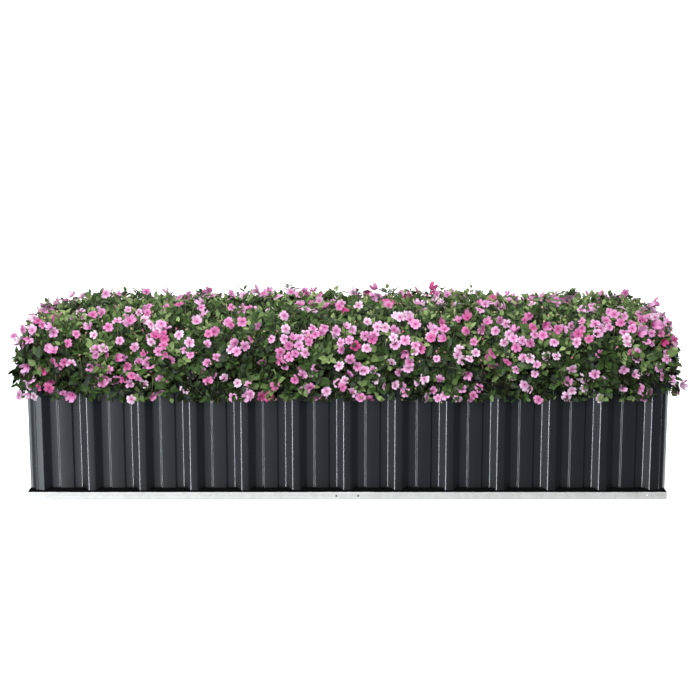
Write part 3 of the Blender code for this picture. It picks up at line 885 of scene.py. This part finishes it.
shoots = {
    "seed": 11, "candidates": 20000, "spacing": 0.035, "inset": (0, 0.030),
    "innerSpacing": 0.060, "innerInset": (0.055, 0.105),        # the shaded shoots further in
    "outward": 0.70, "upward": 0.42, "lean": 0.55, "scatter": 0.24,     # which way they face
    "leaves": 10, "leafyLength": 0.078, "ageScatter": 0.3, "spiral": 137.5, "spiralScatter": 0.2,
    "leafLength": (0.021, 0.046), "leafWidth": (0.56, 0.76), "leafSpread": (0.8, 1.15),
    "petiole": 0.30,
    "tilt": (66, 4),                # degrees from the ring of leaves up to the shoot's axis
    "tiltScatter": 0.16, "aboveHem": 0.006,
    "sprigs": 40, "sprigsAbove": 0.8, "sprigInset": (-0.030, -0.006), "sprigOutward": 0.2,
    "sprigScatter": 0.16, "sprigWidth": 0.50 / 0.64, "sprigArch": 0.35, "sprigTilt": 30,
    "sprigLength": 0.35,
    # tones: of all leaves, what young ones add, the painted light that makes those on the top
    # paler, how far shoots differ, and the painted shade that darkens the inner shoots
    "tone": (0.06, 0.42), "youngTone": 0.36, "topTone": 0.10, "toneScatter": 0.17, "innerTone": 0.3,
}
stems = {
    "radius": (0.0036, 0.0011), "radiusSpread": (0.8, 1.15), "sides": 3, "steps": 7,
    "overRim": 0.004, "tone": 0.9, "toneScatter": 0.12, "root": 0.012,
    "hangBelow": 0.60, "hangWithin": 0.10,      # tips below the first hang, all the way from 0.50
    # how far out and up the second corner is: shares of the reach, and heights in metres
    "out": 0.45, "up": 0.12, "rise": 0.06, "hangRise": 0.13,
    # the third corner: straight before the tip, or out, above it and over the rim
    "straight": 0.3, "overOut": 0.012, "overTip": 0.10, "overTop": 0.52,
}

# The leaf's outline at its stations: distance along the blade, and half width there over the
# greatest; the first station is the stalk's start. It comes to a point.
leafShape = {
    "along": [0, 0.13, 0.34, 0.60, 0.82], "width": [0.05, 0.58, 0.98, 0.88, 0.50],
    "stalkWidth": 0.0011, "fold": (0.12, 0.45), "curl": (0.02, 0.34), "ruffle": (0.01, 0.045),
}


# Leaf blades: x along the axis, y = half width(u) across, z = fold |y| - curl u^2 + a ruffle of
# the edges. Axis, across and face are the leaf's own unit vectors, (n, 3) each.
def leafBlades(rng, base, axis, face, length, width, stalk, arch):
    across = np.cross(face, axis)
    count = len(base)
    u = leafShape["along"]
    length, whole = length[:, None], (stalk + length)[:, None]
    fold = rng.uniform(*leafShape["fold"], count)[:, None]
    curl = rng.uniform(*leafShape["curl"], count)[:, None] + arch[:, None]
    phase = rng.uniform(0, 6.28, (count, 1))
    ruffle = rng.uniform(*leafShape["ruffle"], count)[:, None] * length
    half = np.concatenate([np.full((count, 1), leafShape["stalkWidth"]),
                           width[:, None] / 2 * leafShape["width"]], 1)
    x = np.concatenate([np.zeros((count, 1)), stalk[:, None] + length * u], 1)
    drop = -curl * (x / whole) ** 2 * length
    rows = []
    for side in (-1, 0, 1):
        wave = ruffle * np.sin(phase + side * 1.3 + np.arange(len(u) + 1) * 1.9)
        lift = drop + (fold * half + wave * (half > 0.002)) * abs(side)
        rows.append(base[:, None] + axis[:, None] * x[..., None]
                    + across[:, None] * (side * half)[..., None] + face[:, None] * lift[..., None])
    points = np.stack(rows, 2).reshape(count, -1, 3)
    tip = base + axis * whole - face * (curl * length)
    last = points.shape[1]
    fan = [[last - 2, last - 3, last, last], [last - 1, last - 2, last, last]]
    uv = [(0.5 + 0.5 * side, v) for v in [0, *u] for side in (-1, 0, 1)] + [(0.5, 1)]
    return (np.concatenate([points, tip[:, None]], 1),
            np.concatenate([gridFaces(len(u) + 1, 3)[:, ::-1], fan]), np.array(uv))


# The tone of each leaf, stem, flower or bud
def toneOf(tree):
    return addNode(tree, "ShaderNodeAttribute", {"attribute_name": "tone"}).outputs["Fac"]


# Where on a leaf or petal: from side to side and from foot to tip, 0 to 1 each
def placeOnBlade(tree):
    uv = addNode(tree, "ShaderNodeUVMap", {"uv_map": "along"}).outputs[0]
    return addNode(tree, "ShaderNodeSeparateXYZ", Vector=uv).outputs[:2]


# Busy lizzie leaf: soft, with a thin wax that gives only a weak broad sheen. The blade is mid
# green, paler and yellower when young, with a pale midrib and seven pairs of faint side veins.
def leafSkin():
    made, tree = newMaterial("busy lizzie leaf", "busy_lizzie", IOR=1.4, Specular_IOR_Level=0.15)
    # the darkest tones are the inner leaves' painted shade, and the top's leaves reach paler ones
    # as painted light
    colour = addRamp(tree, toneOf(tree), [(0.0, "#030601"), (0.3, "#15230c"), (0.6, "#3d5a2a"),
                                          (1.0, "#a0b878")])
    across, along = placeOnBlade(tree)
    out = addMath(tree, "ABSOLUTE", addMath(tree, "SUBTRACT", across, 0.5))
    midrib = addRamp(tree, out, [(0.0, 0.55), (0.045, 0.0)])
    veins = addMath(tree, "MULTIPLY_ADD", out, -5.0, addMath(tree, "MULTIPLY", along, 8.0))
    veins = addMath(tree, "ABSOLUTE", addMath(tree, "SUBTRACT", addMath(tree, "FRACT", veins), 0.5))
    pale = addMath(tree, "MAXIMUM", midrib, addRamp(tree, veins, [(0.0, 0.28), (0.12, 0.0)]))
    speckle = addSpeckle(tree, 9, 3)
    colour = clouded(tree, mixColours(tree, pale, colour, "#86a062"), speckle, "#d8d8d8")
    return finished(made, colour, (speckle, 0.24, 0.36), (pale, 0.35, 0.0006), sunken=True)


# Succulent stem: smooth and half clear, brownish red low down and green at the tip
def stemSkin():
    made, tree = newMaterial("busy lizzie stem", "busy_lizzie", IOR=1.4)
    colour = addRamp(tree, toneOf(tree), [(0.0, "#3c2a20"), (0.45, "#7a4a3a"), (1.0, "#7f9055")])
    speckle = addSpeckle(tree, 20, 2)
    return finished(made, clouded(tree, colour, speckle, "#b8b0a8"), (speckle, 0.2, 0.3),
                    (addSpeckle(tree, 3, 2), 0.3, 0.0004))


# The pieces of each plant: one mesh of each kind, from (n, m, 3) copies of a shape with these
# faces. Owner says whose each copy is, and the tones are (n, m).
def makePlantPieces(kind, owner, points, faces, material, tone, uv=None, replacing=False):
    for number, node in enumerate(plantNodes):
        mine = owner == number
        count, size = mine.sum(), points.shape[1]
        if count:
            allFaces = (faces + np.arange(count)[:, None, None] * size).reshape(-1, 4)
            makePiece(f"{node}_{kind}", points[mine].reshape(-1, 3), allFaces, material,
                      None if uv is None else np.tile(uv, (count, 1)), tone[mine],
                      [node] if replacing else ())


# On the top, shoots and flowers lean towards the bed's front; (n, 3) normals say where the top is
def leanOnTop(normals):
    return np.clip(normals[:, 2:3], 0, 1) ** 2 * [0, -1, 0]


# Where the shoots end and which way they face. Most face out and up, more up on the top. The
# sprigs are thin upright shoots along the top. Inner shoots fill the shade between the others.
def plantShoots(rng):
    s = shoots
    parts = []
    for spacing, inset in ((s["spacing"], s["inset"]), (s["innerSpacing"], s["innerInset"])):
        points, normals = sampleLoaf(rng, s["candidates"])
        chosen = thinned(points, spacing)
        depth = rng.uniform(*inset, len(chosen))
        parts.append((points[chosen], normals[chosen], depth))
    inner = np.arange(sum(len(part[0]) for part in parts)) >= len(parts[0][0])
    points, normals, depth = (np.concatenate(part) for part in zip(*parts))
    top = np.flatnonzero(~inner & (points[:, 2] > loaf["middle"] + s["sprigsAbove"] * loaf["rise"]))
    sprig = np.zeros(len(points), bool)
    sprig[rng.choice(top, s["sprigs"], replace=False)] = True
    depth[sprig] = rng.uniform(*s["sprigInset"], sprig.sum())
    tips = points - normals * depth[:, None]
    tips[:, 2] = np.maximum(tips[:, 2], loaf["hem"][0] + s["aboveHem"])
    facing = unit(s["outward"] * normals + [0, 0, s["upward"]] + s["lean"] * leanOnTop(normals)
                  + rng.normal(0, s["scatter"], points.shape))
    facing[sprig] = unit(normals[sprig] * s["sprigOutward"] + [0, 0, 1]
                         + rng.normal(0, s["sprigScatter"], (sprig.sum(), 3)))
    return tips, normals, facing, sprig, inner


# The stems: cubic curves from the crown. On top they rise straight into the shoot. What hangs
# outside the rim goes over it first.
def stemCurves(tips, facing, owner):
    s = stems
    start = crowns[owner] + s["root"] * facing
    reach = np.linalg.norm(tips - start, axis=1)[:, None]
    outside = ((np.abs(tips[:, 1]) > rim["outY"] - rim["stemSlack"])
               | (np.abs(tips[:, 0]) > rim["outX"] - rim["stemSlack"]))
    hang = np.clip((s["hangBelow"] - tips[:, 2]) / s["hangWithin"], 0, 1) * outside
    way = unit((tips - crowns[owner]) * [1, 1, 0])
    straight = tips - facing * s["straight"] * reach
    over = tips + way * s["overOut"] + upBy(np.maximum(s["overTip"], s["overTop"] - tips[:, 2]))
    second = (start + (tips - start) * [s["out"], s["out"], 0]
              + upBy(s["rise"] + s["hangRise"] * hang) + reach * [0, 0, s["up"]])
    third = straight * (1 - hang[:, None]) + over * hang[:, None]
    return np.stack([start, second, third, tips], 1)


# Stems that clear the rim, thinner and greener towards their tips. Gives their lengths.
def makeStems(rng, curves, owner):
    s = stems
    t = np.linspace(0, 1, s["steps"]) ** 0.72       # closer steps near the tip
    paths = bezier(curves, t)
    overRim = rim["top"] + s["overRim"]
    close = paths[..., 2] < overRim
    for axis, near, far in ((0, rim["inX"], rim["outX"]), (1, rim["inY"], rim["outY"])):
        size = np.abs(paths[..., axis])
        paths[..., 2] = np.where(close & (size > near) & (size < far), overRim, paths[..., 2])
    first, last = s["radius"]
    radii = (first + (last - first) * t) * rng.uniform(*s["radiusSpread"], (len(curves), 1))
    points, faces = tubes(paths, radii, s["sides"])
    along = np.concatenate([np.repeat(t, s["sides"]), [0, 1]])
    tone = along * s["tone"] + rng.normal(0, s["toneScatter"], (len(curves), 1))
    makePlantPieces("stems", owner, points, faces, stemSkin(), np.clip(tone, 0, 1))
    print("stems made:", len(curves))
    return np.linalg.norm(np.diff(paths, axis=1), axis=-1).sum(1)


# The shoots bear their leaves in a spiral, oldest and largest lowest
def makeShoots():
    s = shoots
    rng = np.random.default_rng(s["seed"])
    tips, normals, facing, sprig, inner = plantShoots(rng)
    owner = nearestPlant(tips)
    curves = stemCurves(tips, facing, owner)
    length = makeStems(rng, curves, owner)
    count, leaves = len(tips), s["leaves"]
    scatter = rng.uniform(-s["ageScatter"], s["ageScatter"], (count, leaves))
    age = np.clip((np.arange(leaves) + scatter) / (leaves - 1), 0, 1)
    back = age * s["leafyLength"] * np.where(sprig, s["sprigLength"], 1)[:, None] / length[:, None]
    at = bezier(curves, np.clip(1 - back, 0, 1))
    side = unit(np.cross(facing, [0.2, 0.1, 1.0]))
    other = np.cross(facing, side)
    turn = rng.uniform(0, 6.28, (count, 1)) + np.arange(leaves) * math.radians(s["spiral"])
    turn = turn + rng.normal(0, s["spiralScatter"], turn.shape)
    out = side[:, None] * np.cos(turn)[..., None] + other[:, None] * np.sin(turn)[..., None]
    tilt = np.radians(s["tilt"][0] + (s["tilt"][1] - s["tilt"][0]) * age ** 0.7)
    tilt[sprig] = np.maximum(tilt[sprig], math.radians(s["sprigTilt"]))
    tilt = (tilt + rng.normal(0, s["tiltScatter"], tilt.shape))[..., None]
    up = np.broadcast_to(facing[:, None], out.shape)
    axis = (out * np.cos(tilt) + up * np.sin(tilt)).reshape(-1, 3)
    face = (up * np.cos(tilt) - out * np.sin(tilt)).reshape(-1, 3)
    low, high = s["leafLength"]
    size = (low + (high - low) * age ** 0.75) * rng.uniform(*s["leafSpread"], age.shape)
    wide = size * rng.uniform(*s["leafWidth"], size.shape)
    wide[sprig] *= s["sprigWidth"]
    base, size, wide = at.reshape(-1, 3), size.ravel(), wide.ravel()
    points, faces, uv = leafBlades(rng, base, axis, face, size, wide, size * s["petiole"],
                                   s["sprigArch"] * np.repeat(sprig, leaves))
    low, span = s["tone"]
    tone = low + span * rng.random(age.shape) + s["youngTone"] * (1 - age) ** 1.5
    # painted light and shade: leaves on the top are made paler and those of the inner shoots much
    # darker
    tone = (tone + rng.normal(0, s["toneScatter"], (count, 1))
            + s["topTone"] * (normals[:, 2:3] - 0.2))
    tone[inner] *= s["innerTone"]
    tone = np.repeat(np.clip(tone.reshape(-1, 1), 0, 1), points.shape[1], 1)
    makePlantPieces("leaves", np.repeat(owner, leaves), clearOfRim(points, base), faces, leafSkin(),
                    tone, uv, True)
    print("leaves made:", len(points))


flowers = {
    "seed": 23, "candidates": 12000, "clusterSpacing": 0.044, "spacing": 0.023, "lowest": 0.392,
    "petal": (0.0160, 0.0216),      # length, metres
    "petalWidth": (0.78, 0.95),     # of the length
    # how thickly they stand at each height
    "density": [(0.38, 0.1), (0.42, 0.5), (0.46, 0.9), (0.50, 0.98), (0.54, 0.6), (0.58, 0.72),
                (0.61, 1.15), (0.64, 0.85), (0.66, 0.26)],
    "clusters": [0.30, 0.29, 0.21, 0.13, 0.07],     # the shares of one to five flowers
    "jitter": 0.023, "standOut": (-0.010, 0.014), "patches": 0.7,
    # which way they face
    "outward": 0.62, "sideways": 0.45, "upward": 0.12, "lean": 0.65, "scatter": 0.42,
    "sideScatter": 0.15, "turnScatter": 0.06,
    # how far a petal rises over its length, on the whole and where it is half open, and what each
    # petal adds to that, to its sideways tilt and to the drop of its edges
    "cup": (0.02, 0.12), "halfOpen": 0.12, "halfOpenCup": (0.8, 1.6), "cupScatter": 0.16,
    "petalTilt": 0.20, "petalDrop": (0.05, 0.16), "petalSpread": (0.88, 1.10),
    "overlap": 0.0004,      # how much higher each next petal lies
    "hot": 0.05, "tone": 0.74, "toneScatter": 0.12, "mostTone": 0.78, "hotTone": (0.8, 1.0),
}
buds = {
    "count": 620, "length": (0.006, 0.0125), "radii": [0.10, 0.26, 0.31, 0.22, 0.07], "sides": 6,
    "standOut": (-0.006, 0.014), "tone": (0.25, 1.0),
    "density": [(0.38, 0.25), (0.50, 1.0)],         # how thickly they stand at each height
    "outward": 0.8, "upward": 0.3, "scatter": 0.5,
}
stalks = {
    "radius": (0.0011, 0.0007), "steps": 4, "sides": 3, "tone": 0.12,
    # from the bud or flower: the last bend, and how far in the others are and how low the first is
    "neck": 0.016, "bend": 0.030, "root": 0.055, "drop": 0.012, "intoFlower": 0.0006,
    "intoBud": 0.48,        # of the bud's length
}
# The petal's outline: at each station the distance from the flower's middle, and half the width
petalShape = {
    "along": [0.05, 0.36, 0.70, 0.95], "width": [0.12, 0.62, 1.0, 0.74],
    "notch": [1.0, 1.06, 0.95, 1.06, 1.0],      # across the outer edge, where it dips in the middle
    "bow": 0.05,                                # how far the middle stations bend back at the edges
    "eyeSides": 6, "eyeRadius": 0.0017, "eyeEdge": 0.0022, "eyeHeight": 0.0036,
}


# Five-petalled heads: x = u r out from the middle, y = half width(u) w across, z = cup u^2 with a
# sideways roll, and the outer edge notched. The middle is a small raised disc.
def flowerHeads(rng, centres, facing, radius, cup):
    f, p = flowers, petalShape
    count = len(centres)
    side = unit(np.cross(facing, unit(rng.normal(0, 1, (count, 3)))))
    other = np.cross(facing, side)
    u, w = np.array(p["along"]), np.linspace(-1, 1, 5)
    half = np.array(p["width"])[:, None] * w / 2
    out = np.broadcast_to(u[:, None], half.shape).copy()
    out[-1] *= p["notch"]
    out[1:3] -= p["bow"] * w ** 2
    petals = []
    for number in range(5):
        turn = number * 2 * np.pi / 5 + rng.normal(0, f["turnScatter"], count)
        away = side * np.cos(turn)[:, None] + other * np.sin(turn)[:, None]
        across = np.cross(facing, away)
        long = radius * rng.uniform(*f["petalSpread"], count)
        broad = long * rng.uniform(*f["petalWidth"], count)
        lift = (cup + rng.normal(0, f["cupScatter"], count))[:, None, None] * out ** 2
        lift = lift + rng.normal(0, f["petalTilt"], (count, 1, 1)) * half * out
        lift = lift - rng.uniform(*f["petalDrop"], (count, 1, 1)) * (w ** 2) * out
        lift = lift * long[:, None, None] + f["overlap"] * number
        long, broad = long[:, None, None], broad[:, None, None]
        petals.append(centres[:, None, None] + away[:, None, None] * (out * long)[..., None]
                      + across[:, None, None] * (half * broad)[..., None]
                      + facing[:, None, None] * lift[..., None])
    points = np.stack(petals, 1).reshape(count, -1, 3)
    faces = np.concatenate([gridFaces(4, 5)[:, ::-1] + 20 * i for i in range(5)])
    uv = np.tile(np.stack([np.broadcast_to(w * 0.5 + 0.5, (4, 5)),
                           np.broadcast_to(u[:, None], (4, 5))], -1).reshape(-1, 2), (5, 1))
    c, s = circle(p["eyeSides"])
    ring = side[:, None] * c[:, None] + other[:, None] * s[:, None]
    disc = centres[:, None] + ring * p["eyeRadius"] + facing[:, None] * p["eyeEdge"]
    over = np.arange(p["eyeSides"]) + points.shape[1]
    middle = np.full(p["eyeSides"], over[-1] + 1)
    points = np.concatenate([points, disc, centres[:, None] + facing[:, None] * p["eyeHeight"]], 1)
    faces = np.concatenate([faces, np.stack([over, np.roll(over, -1), middle, middle], -1)])
    return points, faces, np.concatenate([uv, np.tile([[0.5, 0.0]], (p["eyeSides"] + 1, 1))])


# Petals: thin, soft and velvety. Pale lilac pink, deeper towards the throat, with fine darker
# veins and a crimson eye. Some flowers are a hot pink all over.
def petalSkin():
    made, tree = newMaterial("busy lizzie petal", "busy_lizzie", IOR=1.4, Specular_IOR_Level=0.25)
    across, out = placeOnBlade(tree)
    edge = addRamp(tree, toneOf(tree), [(0.0, "#f6e4f3"), (0.2, "#efc4e6"), (0.5, "#e7a6d4"),
                                        (0.7, "#dc88ba"), (0.85, "#da70a9"), (1.0, "#d45494")])
    throat = mixColours(tree, 1.0, edge, "#dc8cbc", "MULTIPLY")
    colour = mixColours(tree, addRamp(tree, out, [(0.15, 0.0), (0.75, 1.0)]), throat, edge)
    colour = mixColours(tree, addRamp(tree, out, [(0.06, 1.0), (0.16, 0.0)]), colour, "#74164a")
    fan = addMath(tree, "MULTIPLY", addMath(tree, "SUBTRACT", across, 0.5), 26.0)
    veins = addMath(tree, "MULTIPLY_ADD", addMath(tree, "SINE", fan), 0.06, 0.06)
    veins = addMath(tree, "MULTIPLY", veins, addMath(tree, "SUBTRACT", 1.2, out))
    speckle = addSpeckle(tree, 11, 2)
    colour = clouded(tree, mixColours(tree, veins, colour, "#b03a86"), speckle, "#ebe2ea")
    return finished(made, colour, (speckle, 0.2, 0.5), (veins, 0.25, 0.0003))


# Unopened buds and their fine stalks: cream and peach, pinker when nearly open
def budSkin():
    made, tree = newMaterial("busy lizzie bud", "busy_lizzie", IOR=1.4)
    colour = addRamp(tree, toneOf(tree), [(0.0, "#7f9150"), (0.3, "#d3cf9a"), (0.6, "#ecc3a6"),
                                          (0.8, "#ee9dbc"), (1.0, "#d9509c")])
    speckle = addSpeckle(tree, 4, 2)
    return finished(made, clouded(tree, colour, speckle, "#e0dad4"), (speckle, 0.2, 0.4),
                    (speckle, 0.3, 0.0003))


# Where the flowers stand: clusters of one to five over the loaf, thicker half way up and in
# patches, 1 + sin(17 x + 9 z) cos(31 z - 11 x + 13 y) of the share
def plantFlowers(rng):
    f = flowers
    points, normals = sampleLoaf(rng, f["candidates"])
    chosen = thinned(points, f["clusterSpacing"])
    points, normals = points[chosen], normals[chosen]
    weight = np.interp(points[:, 2], *np.array(f["density"]).T)
    x, y, z = points.T
    patches = np.sin(17 * x + 9 * z + 1) * np.cos(31 * z - 11 * x + 13 * y)
    kept = rng.random(len(points)) < weight * (1 + f["patches"] * patches)
    points, normals = points[kept], normals[kept]
    each = rng.choice(np.arange(len(f["clusters"])) + 1, len(points), p=f["clusters"])
    points, normals = np.repeat(points, each, 0), np.repeat(normals, each, 0)
    hue = np.repeat(rng.random(len(each)), each)
    jitter = rng.normal(0, f["jitter"], points.shape)
    jitter -= normals * np.einsum("ij,ij->i", jitter, normals)[:, None]
    points = points + jitter + normals * rng.uniform(*f["standOut"], (len(points), 1))
    points[:, 2] = np.maximum(points[:, 2], f["lowest"])
    chosen = thinned(points, f["spacing"])
    return points[chosen], normals[chosen], hue[chosen]


# The flowers face outwards from the surface and from the bed's sides. Some are half open.
def makeFlowers(rng):
    f = flowers
    centres, normals, hue = plantFlowers(rng)
    count = len(centres)
    x, y = centres[:, 0], centres[:, 1]
    outward = unit(np.stack([np.sign(x) * np.abs(x / loaf["halfLength"]) ** 6,
                             y / loaf["halfDepth"] * 1.6, np.zeros(count)], -1)
                   + rng.normal(0, f["sideScatter"], (count, 3)))
    facing = unit(f["outward"] * normals + f["sideways"] * outward + [0, 0, f["upward"]]
                  + f["lean"] * leanOnTop(normals) + rng.normal(0, f["scatter"], (count, 3)))
    radius = rng.uniform(*f["petal"], count)
    cup = rng.normal(*f["cup"], count)
    half = rng.random(count) < f["halfOpen"]
    cup[half] = rng.uniform(*f["halfOpenCup"], half.sum())
    points, faces, uv = flowerHeads(rng, centres, facing, radius, cup)
    tone = np.clip(f["tone"] * hue + rng.normal(0, f["toneScatter"], count), 0, f["mostTone"])
    tone = np.where(hue > 1 - f["hot"], rng.uniform(*f["hotTone"], count), tone)
    tone = np.repeat(tone[:, None], points.shape[1], 1)
    makePlantPieces("flowers", nearestPlant(centres), clearOfRim(points, centres), faces,
                    petalSkin(), tone, uv)
    print("flowers made:", count)
    return centres, normals, facing


# Buds beside the flowers and between them, and the fine stalks of the flowers and buds
def makeBuds(rng, centres, normals, facing):
    b, k = buds, stalks
    bud = budSkin()
    place, budNormals = sampleLoaf(rng, b["count"])
    place = place + budNormals * rng.uniform(*b["standOut"], (len(place), 1))
    keep = rng.random(len(place)) < np.interp(place[:, 2], *np.array(b["density"]).T)
    place, budNormals = place[keep], budNormals[keep]
    nod = unit(budNormals * b["outward"] + [0, 0, b["upward"]]
               + rng.normal(0, b["scatter"], place.shape))
    size = rng.uniform(*b["length"], len(place))[:, None]
    t = np.linspace(0, 1, len(b["radii"]))
    paths = place[:, None] + nod[:, None] * (size * (t - 0.5))[..., None]
    points, faces = tubes(paths, size * b["radii"], b["sides"])
    tone = np.repeat(rng.uniform(*b["tone"], (len(place), 1)), points.shape[1], 1)
    makePlantPieces("buds", nearestPlant(place), clearOfRim(points, place), faces, bud, tone)

    ends = np.concatenate([centres - facing * k["intoFlower"], place - nod * size * k["intoBud"]])
    ways = np.concatenate([facing, nod])
    normals = np.concatenate([normals, budNormals])
    corners = np.stack([ends - normals * k["root"] - [0, 0, k["drop"]], ends - normals * k["bend"],
                        ends - ways * k["neck"], ends], 1)
    paths = bezier(corners, np.linspace(0, 1, k["steps"]))
    radii = np.broadcast_to(np.linspace(*k["radius"], k["steps"]), paths.shape[:2])
    points, faces = tubes(paths, radii, k["sides"])
    makePlantPieces("stalks", nearestPlant(ends), clearOfRim(points, ends), faces, bud,
                    np.full(points.shape[:2], k["tone"]))
    print("buds and stalks made:", len(ends))


makeShoots()
flowerRandom = np.random.default_rng(flowers["seed"])
makeBuds(flowerRandom, *makeFlowers(flowerRandom))
# the flat left wall would mirror the strip towards the back left
lightOnly(strip, [piece for piece in bpy.context.scene.objects
                  if piece.type == "MESH" and not piece.name.startswith("wall_left")])
